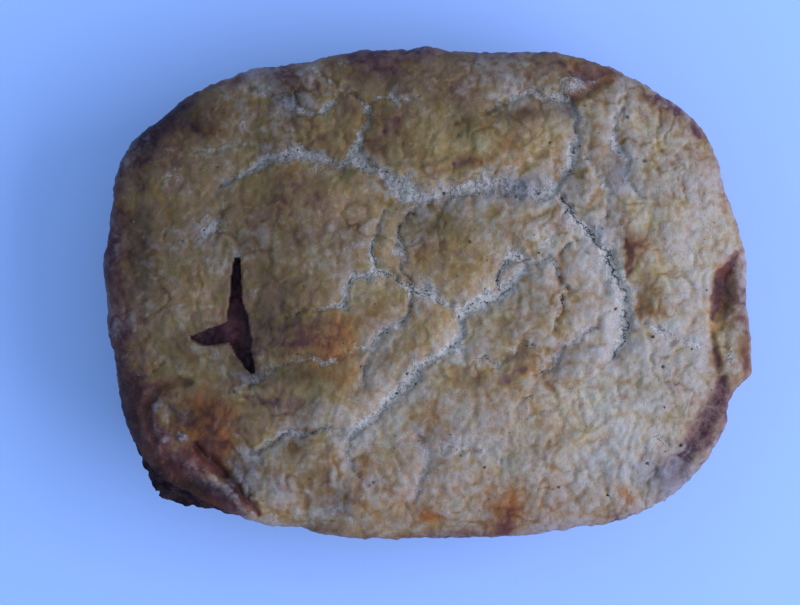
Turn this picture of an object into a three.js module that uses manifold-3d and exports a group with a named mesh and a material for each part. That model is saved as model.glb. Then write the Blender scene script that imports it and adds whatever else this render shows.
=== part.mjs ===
// A steak and potato pie, baked in a rectangular tray with rounded corners and turned out.
// The crust is one baked solid: a straight-sided case with a thin flange, and over it a puffed lid that
// has cracked into plates, with pinched folds, a thumb press and a Y-shaped vent cut in it.
// The filling that shows in the vent is a piece of its own, lying in the recess under the vent.
//
// Millimetres, +Z up. The origin is the middle of the underside; +X runs along the long side.

import * as THREE from "three";
import { mergeVertices } from "three/addons/utils/BufferGeometryUtils.js";
import Module from "manifold-3d";

// ---- Driving dimensions ----

const LENGTH = 138.8; // along X, over the lid, before the bulges of its edge
const WIDTH = 106; // along Y
const HEIGHT = 37.6; // of the smooth dome, before its lumps
const CORNER_POWER = 2.8; // of the superellipse that rounds the corners

const LID_EDGE_Z = 27.5; // where the lid's edge turns under
const SHOULDER_RISE = 4.6; // from the lid's edge up to the dome
const SHOULDER_RUN = 6.5;
const DOME_RISE = HEIGHT - LID_EDGE_Z - SHOULDER_RISE;
const DOME_POWER = 2.3;

// The seam between the lid and the case, and the flange of the case under it.
const LID_INSET = 0.15; // of the lid's edge, in from the outline
const FLANGE_INSET = 0.5;
const SEAM_DEPTH = 0.8;
const SEAM_Z = 26.4;
const FLANGE_TOP_Z = 25.4;
const FLANGE_FOOT_Z = 23;

// The case's wall from the flange down: [height, distance in, share of the outline's bulges].
// The tray keeps the wall regular, so the bulges fade out towards the foot.
const WALL_PROFILE = [
  [22.2, 2.6, 0.75],
  [11, 4.6, 0.4],
  [2.5, 6.4, 0.15],
  [0, 8.6, 0],
];

// Where the burnt flange stands out past the lid: direction and spread in degrees, and how far.
const BARE_FLANGE = { angle: 220, spread: 9, reach: 2.6 };

// Bulges (+) and hollows (-) of the outline: [direction in degrees, spread in degrees, millimetres].
const OUTLINE_BULGES = [
  [19, 9, -2.2],
  [40, 5, -0.7],
  [60, 7, 0.9],
  [80, 7, -0.8],
  [90, 2.5, 0.8],
  [119, 9, -1.7],
  [135, 5, -0.8],
  [145, 4, -0.8],
  [156, 6, 1.3],
  [175, 4, 0.6],
  [193, 7, -1.1],
  [216, 8, 2.9],
  [241, 4, -0.9],
  [256, 7, 0.5],
  [310, 6, 0.6],
  [320, 10, 1.3],
  [341, 3, -1.4],
  [347, 4, 1.8],
  [352, 5, 0.6],
];

// Cracks between the plates of the lid: depth, and the line as [x, y, half-width] points.
const CRACKS = {
  north: {
    depth: 1.7,
    line: [
      [-44.3, 22.4, 0.5],
      [-38.1, 26.1, 1.1],
      [-27.7, 31, 1.5],
      [-19.2, 27.3, 1.4],
      [-14.7, 28.4, 1.3],
      [-10.2, 26.3, 1.6],
      [-5, 22.3, 2],
      [1, 20.8, 2.2],
      [8, 22, 2.3],
      [16, 22.8, 2],
      [24, 21.6, 1.7],
      [28.4, 24.5, 1.5],
      [31.7, 30.4, 1.1],
      [31.6, 37.5, 1.1],
      [28.7, 41.5, 1.1],
      [21.6, 42.1, 1],
      [13.3, 39.2, 0.5],
    ],
  },
  northWest: {
    depth: 1.1,
    line: [
      [-38.1, 43.7, 0.5],
      [-29.8, 41.2, 0.9],
      [-22.7, 38.6, 0.9],
      [-19.4, 41.5, 0.9],
      [-20.5, 45.4, 0.8],
      [-25.4, 48.3, 0.5],
    ],
  },
  northLoop: {
    depth: 1.3,
    line: [
      [-18.8, 43.2, 0.8],
      [-14.2, 41.5, 1],
      [-12.8, 37, 1.1],
      [-14.6, 33.8, 1],
      [-15.8, 30, 1],
      [-19, 27.5, 1],
    ],
  },
  northEastArm: {
    depth: 0.9,
    line: [
      [-14, 41.3, 0.8],
      [-9, 41.8, 0.8],
      [-1.2, 41.7, 0.4],
    ],
  },
  westThin: {
    depth: 0.7,
    line: [
      [-50, 30.2, 0.5],
      [-44, 31, 0.7],
      [-38.3, 31.8, 0.5],
    ],
  },
  centre: {
    depth: 1.3,
    line: [
      [-9.2, 17.4, 0.5],
      [-11.7, 9.7, 0.9],
      [-11.3, 4.7, 1.1],
      [-16.3, 2.9, 1.1],
      [-17.8, -2.3, 0.9],
      [-22.1, -3.4, 0.9],
      [-29.8, -4.2, 0.5],
    ],
  },
  centreBar: {
    depth: 1.4,
    line: [
      [-11.3, 4.6, 0.9],
      [-5.2, 2.3, 1],
      [-0.6, 0.4, 1],
      [4.1, -2, 1],
      [8, -3.6, 1.2],
    ],
  },
  centreUpper: {
    depth: 1.2,
    line: [
      [-0.9, 19.8, 0.7],
      [-5.2, 14, 0.9],
      [-5.5, 5.4, 0.9],
      [-2.7, 0.6, 0.9],
      [-7, -6.7, 1.1],
      [-12, -12.2, 1.1],
      [-13.8, -19.7, 0.6],
    ],
  },
  west: {
    depth: 1.1,
    line: [
      [-11, -10, 0.8],
      [-18.7, -13.6, 1.1],
      [-28.3, -14.4, 1],
      [-35.1, -16.8, 0.8],
      [-38.5, -20.3, 0.5],
    ],
  },
  diagonal: {
    depth: 2,
    line: [
      [21.6, 5.4, 1.2],
      [15.7, 0, 1.7],
      [8.6, -3.3, 1.8],
      [7.2, -8.4, 1.6],
      [4.6, -12.2, 1.6],
      [0, -14.3, 1.7],
      [-5.2, -20.6, 1.7],
      [-10.4, -24.6, 1.6],
      [-14.4, -29.1, 1.4],
      [-20.9, -28.9, 1.1],
      [-28.3, -29.6, 0.9],
      [-37.5, -35, 0.5],
    ],
  },
  diagonalFork: {
    depth: 1.6,
    line: [
      [15.5, 0.2, 1],
      [15.1, 3.5, 1],
      [18.5, 8.1, 1.3],
      [22.8, 7.2, 1.3],
      [26.6, 8, 1],
      [28, 3.5, 0.9],
      [30.5, 1.4, 0.5],
    ],
  },
  right: {
    depth: 2,
    line: [
      [28.6, 21, 0.8],
      [30.8, 16.9, 1],
      [35.4, 11.5, 1.4],
      [40.1, 4.7, 1.6],
      [43.6, -1.4, 1.6],
      [42.5, -9.7, 1.3],
      [40.1, -13.1, 0.7],
    ],
  },
  rightBar: {
    depth: 0.9,
    line: [
      [46.6, -6.7, 0.8],
      [51.6, -8.5, 1],
      [60.5, -12.2, 0.5],
    ],
  },
  southEast: {
    depth: 1.2,
    line: [
      [36.4, -8, 0.5],
      [28.7, -11.9, 1.1],
      [27.1, -15.3, 1],
      [22.8, -17.6, 0.5],
    ],
  },
  southEastHook: {
    depth: 1,
    line: [
      [22.2, -11.3, 0.5],
      [18.5, -11.9, 0.8],
      [15.1, -14.8, 0.9],
      [10.8, -13.7, 0.5],
    ],
  },
  northEast: {
    depth: 1.3,
    line: [
      [42.3, 40, 0.6],
      [39.6, 32.6, 1],
      [43.6, 27.6, 1],
      [42.6, 24.9, 0.9],
      [46.9, 20.3, 0.5],
    ],
  },
  northEastInner: {
    depth: 1,
    line: [
      [34.6, 29.3, 0.5],
      [38.3, 22.4, 0.9],
      [38.3, 16.2, 0.5],
    ],
  },
  southWest: {
    depth: 1.1,
    line: [
      [-17.5, -30.5, 0.9],
      [-16.3, -35.7, 0.9],
      [-12.6, -40.7, 0.5],
    ],
  },
  south: {
    depth: 1.1,
    line: [
      [-2.4, -31.1, 0.6],
      [-0.1, -33.3, 1],
      [-0.6, -39.7, 0.9],
      [-2.4, -44.7, 0.5],
    ],
  },
  southBar: {
    depth: 0.9,
    line: [
      [-0.1, -33.3, 0.9],
      [7.7, -32.6, 0.8],
      [13.3, -33.3, 0.8],
      [16.6, -35.6, 0.5],
    ],
  },
};

// Creases of the lid's folds and of the thumb press, given as the cracks are.
const FOLDS = {
  leftArc: {
    depth: 1.1,
    line: [
      [-50.4, -18.2, 0.7],
      [-56.6, -20.3, 1.3],
      [-59.7, -24.9, 1.3],
      [-59.7, -28, 0.8],
    ],
  },
  leftCrease: {
    depth: 2.2,
    line: [
      [-48.6, -33.6, 1.2],
      [-42.4, -40.7, 1.7],
      [-34.7, -48.6, 1.3],
    ],
  },
  thumbPress: {
    depth: 2.2,
    line: [
      [61.6, 6.6, 1],
      [63.6, 3.6, 1.9],
      [64, 0, 2.3],
      [62.4, -4.4, 1.4],
    ],
  },
  rimGroove: {
    depth: 1.7,
    line: [
      [60.8, -12.3, 1.2],
      [62.2, -18.8, 1.6],
      [61.3, -26, 1.7],
      [58.4, -30.6, 1.6],
      [55.3, -36.7, 1],
    ],
  },
  topFold: {
    depth: 1.3,
    line: [
      [30.8, 41.8, 0.6],
      [35.4, 44.2, 1.1],
      [38.5, 46.6, 0.9],
      [35, 47.2, 1],
      [31.6, 48, 0.8],
    ],
  },
};

// Raised pads: [x, y, half-length, half-width, turn in degrees, height].
const PADS = [
  [-54.8, -23.8, 3.6, 4.6, 0, 1],
  [-49, -38, 4.6, 1.6, -22, 0.9],
  [-46.4, -28.6, 3.4, 6.4, -28, 0.5],
  [32, 45.2, 4.4, 2, 8, 0.9],
  [67, 0.4, 1.8, 6, 0, 0.7],
  [65.4, -25, 2, 6, -12, 0.8],
  [33, -30.6, 8.6, 1.5, 30, 0.7],
  [38.6, 7.2, 1.6, 5.6, 28, 0.5],
  [-32, -6, 7, 6, 0, 0.6],
  [7, 8.6, 8, 7, 0, 0.7],
  [-24, 14, 9, 8, 0, 0.6],
  [54, 12, 7, 8, 0, 0.5],
  [16, -24, 9, 7, 20, 0.6],
];

// Lumps of the baked crust: [size across, height, height added towards the right-hand end].
const LUMPS = [
  [11, 0.55, 0],
  [5.2, 0.3, 0.16],
];

// The vent: three slashes that meet, each [x, y, half-width] along its middle.
const VENT_SLASHES = {
  north: [
    [-40.6, 6.9, 0.6],
    [-40.7, 3.5, 0.95],
    [-40.8, -1.4, 1.3],
    [-40.5, -5, 2.1],
    [-40.4, -8.4, 2.5],
  ],
  west: [
    [-40.8, -7.8, 2.4],
    [-43.5, -8.6, 1.95],
    [-46.4, -9.4, 1.7],
    [-48.8, -9.6, 1.1],
    [-50.1, -9.4, 0.5],
  ],
  south: [
    [-40.6, -8, 2.5],
    [-39.7, -10.6, 2.2],
    [-38.9, -13.2, 1.5],
    [-37.8, -15.6, 0.9],
    [-37.2, -16.5, 0.45],
  ],
};
const VENT_FLOOR_Z = 27;
const FILLING_TOP_Z = 31.2;
const FILLING_GAP = 0.35; // between the filling and the walls and floor of the recess
const FILLING_LUMP = 0.55;
const FILLING_LUMP_SIZE = 2.3;

// ---- Mesh fineness ----

const LID_CELLS_X = 68;
const LID_CELLS_Y = 52;
const SNAP_REACH = 0.85; // a lid vertex this near the floor of a crack is moved on to it
const SNAP_LIMIT = 0.93; // and only inside this share of the lid
const CRACK_STEPS = 60;
const VENT_STEPS = 9;
const FILLING_CELL = 1;

const { clamp, degToRad, euclideanModulo, lerp, radToDeg, smoothstep, smootherstep } = THREE.MathUtils;

// ---- Small surface functions ----

// A repeatable value between -1 and 1 for each point of a square lattice.
function latticeValue(column, row, seed) {
  let mixed = Math.imul(column, 374761393) ^ Math.imul(row, 668265263) ^ Math.imul(seed, 1442695041);
  mixed = Math.imul(mixed ^ (mixed >>> 13), 1274126177);
  return ((mixed ^ (mixed >>> 16)) >>> 0) / 2147483648 - 1;
}

// Smooth lumps of the given size, between -1 and 1.
function lumps(x, y, size, seed) {
  const column = Math.floor(x / size);
  const row = Math.floor(y / size);
  const across = smootherstep(x / size - column, 0, 1);
  const up = smootherstep(y / size - row, 0, 1);
  const low = lerp(latticeValue(column, row, seed), latticeValue(column + 1, row, seed), across);
  const high = lerp(latticeValue(column, row + 1, seed), latticeValue(column + 1, row + 1, seed), across);
  return lerp(low, high, up);
}

// How strongly a direction (radians) lies in a feature of the outline: 1 at its middle, falling off round it.
function nearDirection(angle, middle, spread) {
  const turn = euclideanModulo(radToDeg(angle) - middle + 180, 360) - 180;
  return Math.exp(-((turn / spread) ** 2));
}

// Where a point lies between the middle (0) and the superellipse (1), with the outward direction there.
function superellipse(x, y) {
  const powerX = Math.abs(x / (LENGTH / 2)) ** CORNER_POWER;
  const powerY = Math.abs(y / (WIDTH / 2)) ** CORNER_POWER;
  const share = (powerX + powerY) ** (1 / CORNER_POWER);
  if (share === 0) return { share, slope: 2 / WIDTH, out: new THREE.Vector2() };
  const gradient = new THREE.Vector2(
    powerX / (x || 1e-9),
    powerY / (y || 1e-9),
  ).multiplyScalar(share ** (1 - CORNER_POWER));
  return { share, slope: gradient.length(), out: gradient.clone().normalize() };
}

// The outline's distance from the middle in the direction of a point, as a multiple of the point's own.
function outlineReach(x, y, bulgeShare = 1) {
  const distance = Math.hypot(x, y);
  const angle = Math.atan2(y, x);
  let radius = distance / superellipse(x, y).share;
  for (const [middle, spread, out] of OUTLINE_BULGES)
    radius += bulgeShare * out * nearDirection(angle, middle, spread);
  return radius / distance;
}

// ---- Cracks and folds as lines of points on the lid ----

function linePoints(line, steps) {
  const points = line.map(([x, y, halfWidth]) => new THREE.Vector3(x, y, halfWidth));
  return new THREE.CatmullRomCurve3(points, false, "centripetal").getPoints(steps);
}

const grooves = [...Object.values(CRACKS), ...Object.values(FOLDS)].map(({ depth, line }) => ({
  depth,
  points: linePoints(line, CRACK_STEPS),
}));

// The nearest point of a groove's middle to (x, y), with the groove's half-width there.
function nearestOnGroove(points, x, y) {
  let best = { distance: Infinity };
  for (let i = 0; i + 1 < points.length; i++) {
    const from = points[i];
    const to = points[i + 1];
    const dx = to.x - from.x;
    const dy = to.y - from.y;
    const along = clamp(((x - from.x) * dx + (y - from.y) * dy) / (dx * dx + dy * dy), 0, 1);
    const footX = from.x + along * dx;
    const footY = from.y + along * dy;
    const distance = Math.hypot(x - footX, y - footY);
    if (distance < best.distance) {
      const halfWidth = lerp(from.z, to.z, along);
      best = { distance, footX, footY, halfWidth };
    }
  }
  return best;
}

// How deep the cracks and folds go at (x, y): a rounded V, with edges that curl up a little.
const GROOVE_SPREAD = 1.35; // the V's half-width as a multiple of the crack's own
const CURL_HEIGHT = 0.16;
const CURL_RUN = 1.6;
function grooveDepth(x, y) {
  let deepest = 0;
  let curl = 0;
  for (const { depth, points } of grooves) {
    const { distance, halfWidth } = nearestOnGroove(points, x, y);
    const share = distance / (halfWidth * GROOVE_SPREAD + 0.5);
    if (share < 1) deepest = Math.max(deepest, depth * (1 - share) ** 0.8);
    else curl = Math.max(curl, CURL_HEIGHT * depth * Math.exp(-(((share - 1) / CURL_RUN) ** 2)));
  }
  return deepest > 0 ? deepest : -curl;
}

function padHeight(x, y) {
  let height = 0;
  for (const [padX, padY, halfLength, halfWidth, turn, rise] of PADS) {
    const along = (x - padX) * Math.cos(degToRad(turn)) + (y - padY) * Math.sin(degToRad(turn));
    const across = (y - padY) * Math.cos(degToRad(turn)) - (x - padX) * Math.sin(degToRad(turn));
    height += rise * Math.exp(-((along / halfLength) ** 2) - (across / halfWidth) ** 2);
  }
  return height;
}

// Height of the lid's surface over the underside.
function lidHeight(x, y) {
  const share = Math.min(1, 1 / outlineReach(x || 1e-6, y));
  const inward = (1 - share) / superellipse(x, y).slope;
  const run = Math.min(1, inward / SHOULDER_RUN);
  const shoulder = SHOULDER_RISE * Math.sqrt(1 - (1 - run) ** 2);
  const dome = DOME_RISE * (1 - share ** DOME_POWER);
  const rightward = smoothstep(x, 0, LENGTH / 2);
  let relief = padHeight(x, y) - grooveDepth(x, y);
  LUMPS.forEach(([size, height, rightHeight], seed) => {
    relief += (height + rightHeight * rightward) * lumps(x, y, size, seed + 1);
  });
  return LID_EDGE_Z + shoulder + dome + relief * run;
}

// ---- The crust ----

// A square grid's point (u, v from -1 to 1) on the lid's plan, whose border is the lid's edge.
const BORDER_POWER = 4;
function lidPlan(u, v) {
  if (u === 0 && v === 0) return new THREE.Vector2(0, 0);
  const ring = Math.max(Math.abs(u), Math.abs(v));
  const borderX = ((u / ring) * LENGTH) / 2;
  const borderY = ((v / ring) * WIDTH) / 2;
  const { out } = superellipse(borderX, borderY);
  const edge = new THREE.Vector2(borderX, borderY).multiplyScalar(outlineReach(borderX, borderY));
  const bare = nearDirection(Math.atan2(borderY, borderX), BARE_FLANGE.angle, BARE_FLANGE.spread);
  edge.addScaledVector(out, -LID_INSET - BARE_FLANGE.reach * bare);
  const box = new THREE.Vector2((u * LENGTH) / 2, (v * WIDTH) / 2);
  return box.lerp(edge.multiplyScalar(ring), ring ** BORDER_POWER);
}

// Moves a point of the plan on to the floor of a crack that runs close by.
function snapToGroove(point) {
  let nearest = { distance: SNAP_REACH };
  for (const { points } of grooves) {
    const found = nearestOnGroove(points, point.x, point.y);
    if (found.distance < nearest.distance) nearest = found;
  }
  if (nearest.halfWidth !== undefined) point.set(nearest.footX, nearest.footY);
}

// The rings of the side, each a list of points, from under the lid's edge down to the foot.
function sideRings(edgePoints) {
  const rings = [];
  const addRing = (height, insetAt, bulgeShare = 1) => {
    rings.push(
      edgePoints.map(({ x, y }) => {
        const outline = new THREE.Vector2(x, y).multiplyScalar(outlineReach(x, y, bulgeShare));
        const bare = nearDirection(Math.atan2(y, x), BARE_FLANGE.angle, BARE_FLANGE.spread);
        outline.addScaledVector(superellipse(outline.x, outline.y).out, -insetAt(bare));
        return new THREE.Vector3(outline.x, outline.y, height);
      }),
    );
  };
  addRing(SEAM_Z, (bare) => FLANGE_INSET + SEAM_DEPTH + BARE_FLANGE.reach * bare);
  addRing(FLANGE_TOP_Z, (bare) => FLANGE_INSET * (1 - bare));
  addRing(FLANGE_FOOT_Z, (bare) => FLANGE_INSET * (2 - bare));
  for (const [height, inset, bulgeShare] of WALL_PROFILE) addRing(height, () => inset, bulgeShare);
  return rings;
}

// Indices of a grid's border, anticlockwise seen from above. PlaneGeometry counts rows from +Y down.
function borderIndices(columns, rows) {
  const at = (column, row) => row * (columns + 1) + column;
  const border = [];
  for (let column = 0; column < columns; column++) border.push(at(column, rows));
  for (let row = rows; row > 0; row--) border.push(at(columns, row));
  for (let column = columns; column > 0; column--) border.push(at(column, 0));
  for (let row = 0; row < rows; row++) border.push(at(0, row));
  return border;
}

// Splits each cell of a grid by the diagonal that runs out from the middle, which suits rounded corners.
function gridTriangles(columns, rows) {
  const at = (column, row) => row * (columns + 1) + column;
  const triangles = [];
  for (let row = 0; row < rows; row++)
    for (let column = 0; column < columns; column++) {
      const [a, b] = [at(column, row), at(column + 1, row)];
      const [c, d] = [at(column + 1, row + 1), at(column, row + 1)];
      const leansRight = column < columns / 2 === row < rows / 2;
      triangles.push(...(leansRight ? [a, d, c, a, c, b] : [a, d, b, b, d, c]));
    }
  return triangles;
}

function geometryOf(points, triangles) {
  const geometry = new THREE.BufferGeometry().setFromPoints(points);
  geometry.setIndex(triangles);
  return geometry;
}

// A closed body: a top sheet of points, rings under its border, and a flat fan over the last ring.
function closedBody(sheet, triangles, border, rings) {
  const points = [...sheet];
  const faces = [...triangles];
  let upper = border;
  for (const ring of rings) {
    const lower = ring.map((_, i) => points.length + i);
    points.push(...ring);
    for (let i = 0; i < border.length; i++) {
      const next = (i + 1) % border.length;
      faces.push(lower[i], lower[next], upper[next], lower[i], upper[next], upper[i]);
    }
    upper = lower;
  }
  const middle = points.length;
  points.push(new THREE.Vector3(0, 0, points[upper[0]].z));
  for (let i = 0; i < border.length; i++) faces.push(middle, upper[(i + 1) % border.length], upper[i]);
  return geometryOf(points, faces);
}

function crustBody() {
  const grid = new THREE.PlaneGeometry(2, 2, LID_CELLS_X, LID_CELLS_Y).getAttribute("position");
  const sheet = [];
  for (let i = 0; i < grid.count; i++) {
    const [u, v] = [grid.getX(i), grid.getY(i)];
    const plan = lidPlan(u, v);
    if (Math.max(Math.abs(u), Math.abs(v)) < SNAP_LIMIT) snapToGroove(plan);
    sheet.push(new THREE.Vector3(plan.x, plan.y, lidHeight(plan.x, plan.y)));
  }
  const border = borderIndices(LID_CELLS_X, LID_CELLS_Y);
  for (const index of border) sheet[index].z = LID_EDGE_Z;
  const rings = sideRings(border.map((index) => sheet[index]));
  return closedBody(sheet, gridTriangles(LID_CELLS_X, LID_CELLS_Y), border, rings);
}

// ---- The vent and its filling ----

// One slash as an upright slab whose plan is the slash, narrowed by an inset.
function slashSlab(line, inset, bottom, top) {
  const middle = linePoints(line, VENT_STEPS);
  const left = [];
  const right = [];
  middle.forEach((point, i) => {
    const before = middle[Math.max(0, i - 1)];
    const after = middle[Math.min(middle.length - 1, i + 1)];
    const along = new THREE.Vector2(after.x - before.x, after.y - before.y).normalize();
    const halfWidth = Math.max(0.15, point.z - inset);
    left.push(new THREE.Vector2(point.x - along.y * halfWidth, point.y + along.x * halfWidth));
    right.push(new THREE.Vector2(point.x + along.y * halfWidth, point.y - along.x * halfWidth));
  });
  const shape = new THREE.Shape([...right, ...left.reverse()]);
  const slab = new THREE.ExtrudeGeometry(shape, { depth: top - bottom, bevelEnabled: false });
  return slab.translate(0, 0, bottom);
}

// A block with a lumpy top that covers the whole vent.
function fillingBlock() {
  const all = Object.values(VENT_SLASHES).flat();
  const box = new THREE.Box2().setFromPoints(all.map(([x, y]) => new THREE.Vector2(x, y))).expandByScalar(3);
  const size = box.getSize(new THREE.Vector2());
  const centre = box.getCenter(new THREE.Vector2());
  const cellsAcross = Math.round(size.x / FILLING_CELL);
  const cellsAlong = Math.round(size.y / FILLING_CELL);
  const block = new THREE.BoxGeometry(size.x, size.y, 1, cellsAcross, cellsAlong, 1);
  const position = block.getAttribute("position");
  for (let i = 0; i < position.count; i++) {
    const x = position.getX(i) + centre.x;
    const y = position.getY(i) + centre.y;
    const lump = FILLING_LUMP * lumps(x, y, FILLING_LUMP_SIZE, 9);
    const z = position.getZ(i) > 0 ? FILLING_TOP_Z + lump : VENT_FLOOR_Z + FILLING_GAP;
    position.setXYZ(i, x, y, z);
  }
  return block;
}

// ---- Joining and cutting ----

const wasm = await Module();
wasm.setup();

function solidOf(geometry) {
  const bare = geometry.clone();
  bare.deleteAttribute("normal");
  bare.deleteAttribute("uv");
  const merged = mergeVertices(bare, 1e-4);
  return new wasm.Manifold(
    new wasm.Mesh({
      numProp: 3,
      vertProperties: merged.getAttribute("position").array,
      triVerts: new Uint32Array(merged.getIndex().array),
    }),
  );
}

function geometryOfSolid(solid) {
  const mesh = solid.getMesh();
  const geometry = new THREE.BufferGeometry();
  geometry.setAttribute("position", new THREE.BufferAttribute(mesh.vertProperties, 3));
  geometry.setIndex(new THREE.BufferAttribute(mesh.triVerts, 1));
  return geometry;
}

// The three slashes joined into one Y-shaped solid.
function ventSolid(inset, bottom, top) {
  return Object.values(VENT_SLASHES)
    .map((line) => solidOf(slashSlab(line, inset, bottom, top)))
    .reduce((joined, slash) => joined.add(slash));
}

// ---- The pie ----

function pieCrust() {
  const cut = solidOf(crustBody()).subtract(ventSolid(0, VENT_FLOOR_Z, HEIGHT + 10));
  const material = new THREE.MeshStandardMaterial({ color: 0xb5936c, roughness: 0.72, metalness: 0 });
  const mesh = new THREE.Mesh(geometryOfSolid(cut), material);
  mesh.name = "pie_crust";
  return mesh;
}

function ventFilling() {
  const shaped = solidOf(fillingBlock()).intersect(ventSolid(FILLING_GAP, VENT_FLOOR_Z, HEIGHT));
  const material = new THREE.MeshStandardMaterial({ color: 0x4a2622, roughness: 0.35, metalness: 0 });
  const mesh = new THREE.Mesh(geometryOfSolid(shaped), material);
  mesh.name = "vent_filling";
  return mesh;
}

const pie = new THREE.Group();
pie.add(pieCrust(), ventFilling());

// The bulges shift the pie's box a little, so the group is moved to put the origin in its middle.
const middle = new THREE.Box3().setFromObject(pie).getCenter(new THREE.Vector3());
pie.position.set(-middle.x, -middle.y, 0);

export default pie;
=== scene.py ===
"""Dresses a steak and potato pie: cracked lid, case, the filling in the vent and crumbs."""

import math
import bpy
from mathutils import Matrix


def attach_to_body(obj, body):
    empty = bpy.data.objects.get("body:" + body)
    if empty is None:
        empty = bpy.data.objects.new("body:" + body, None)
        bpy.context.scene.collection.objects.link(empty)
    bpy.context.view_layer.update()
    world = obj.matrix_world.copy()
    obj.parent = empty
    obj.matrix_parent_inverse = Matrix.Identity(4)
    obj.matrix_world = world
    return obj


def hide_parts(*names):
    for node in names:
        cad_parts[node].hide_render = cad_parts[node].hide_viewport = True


bl_info = {
    "name": "Baked pie",
    "version": (1, 0, 0),
    "blender": (4, 5, 0),
    "location": "3D Viewport > Sidebar > Pie",
    "description": "Builds a tray-baked pie with a cracked lid, browned pastry and a filled vent",
    "category": "Add Mesh",
}

import bpy
import numpy as np
from bpy.props import FloatProperty, FloatVectorProperty, IntProperty, PointerProperty
from mathutils import Vector

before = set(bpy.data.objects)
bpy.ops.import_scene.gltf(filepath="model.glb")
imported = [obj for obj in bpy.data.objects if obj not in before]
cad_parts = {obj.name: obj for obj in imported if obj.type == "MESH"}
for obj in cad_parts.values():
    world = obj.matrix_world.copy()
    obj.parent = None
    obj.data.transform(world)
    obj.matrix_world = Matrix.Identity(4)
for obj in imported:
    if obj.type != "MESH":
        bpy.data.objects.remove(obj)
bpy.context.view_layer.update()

MM = 0.001

# ---- The pie's form, in millimetres, as its solids have it ----

LENGTH = 138.8
WIDTH = 106.0
HEIGHT = 37.6
CORNER_POWER = 2.8
LID_EDGE_Z = 27.5
SHOULDER_RISE = 4.6
SHOULDER_RUN = 6.5
DOME_RISE = HEIGHT - LID_EDGE_Z - SHOULDER_RISE
DOME_POWER = 2.3
LID_INSET = 0.15
BORDER_POWER = 4

# Where the flange shows past the lid: direction, spread in degrees and reach.
BARE_FLANGE_ANGLE = 218.0
BARE_FLANGE_SPREAD = 8.0
BARE_FLANGE_REACH = 2.6

# Bulges of the outline: direction and spread in degrees, and how far out.
OUTLINE_BULGES = (
    (19, 9, -2.2), (40, 5, -0.7), (60, 7, 0.9), (80, 7, -0.8), (90, 2.5, 0.8), (119, 9, -1.7),
    (135, 5, -0.8), (145, 4, -0.8), (156, 6, 1.3), (175, 4, 0.6), (193, 7, -1.1), (216, 8, 2.9),
    (241, 4, -0.9), (256, 7, 0.5), (310, 6, 0.6), (320, 10, 1.3), (341, 3, -1.4), (347, 4, 1.8),
    (352, 5, 0.6),
)

# The torn tip of the flange: direction, spread in degrees and reach.
TIP_ANGLE = 218.7
TIP_SPREAD = 4.5
TIP_REACH = 1.3

# The side from the lid's edge down: height, distance in, share of the outline's bulges,
# and how much of the bare flange's reach the ring stands in by.
SIDE_PROFILE = (
    (26.4, 1.3, 1.0, 1.0),
    (25.9, 0.8, 1.0, 0.5),
    (25.4, 0.5, 1.0, -0.2),
    (24.2, 0.25, 1.0, -0.1),
    (23.0, 1.0, 1.0, -0.2),
    (22.2, 2.6, 0.75, 0.0),
    (17.0, 3.5, 0.6, 0.0),
    (11.0, 4.6, 0.4, 0.0),
    (6.0, 5.6, 0.25, 0.0),
    (2.5, 6.4, 0.15, 0.0),
    (0.9, 7.4, 0.08, 0.0),
    (0.0, 8.6, 0.0, 0.0),
)

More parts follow.
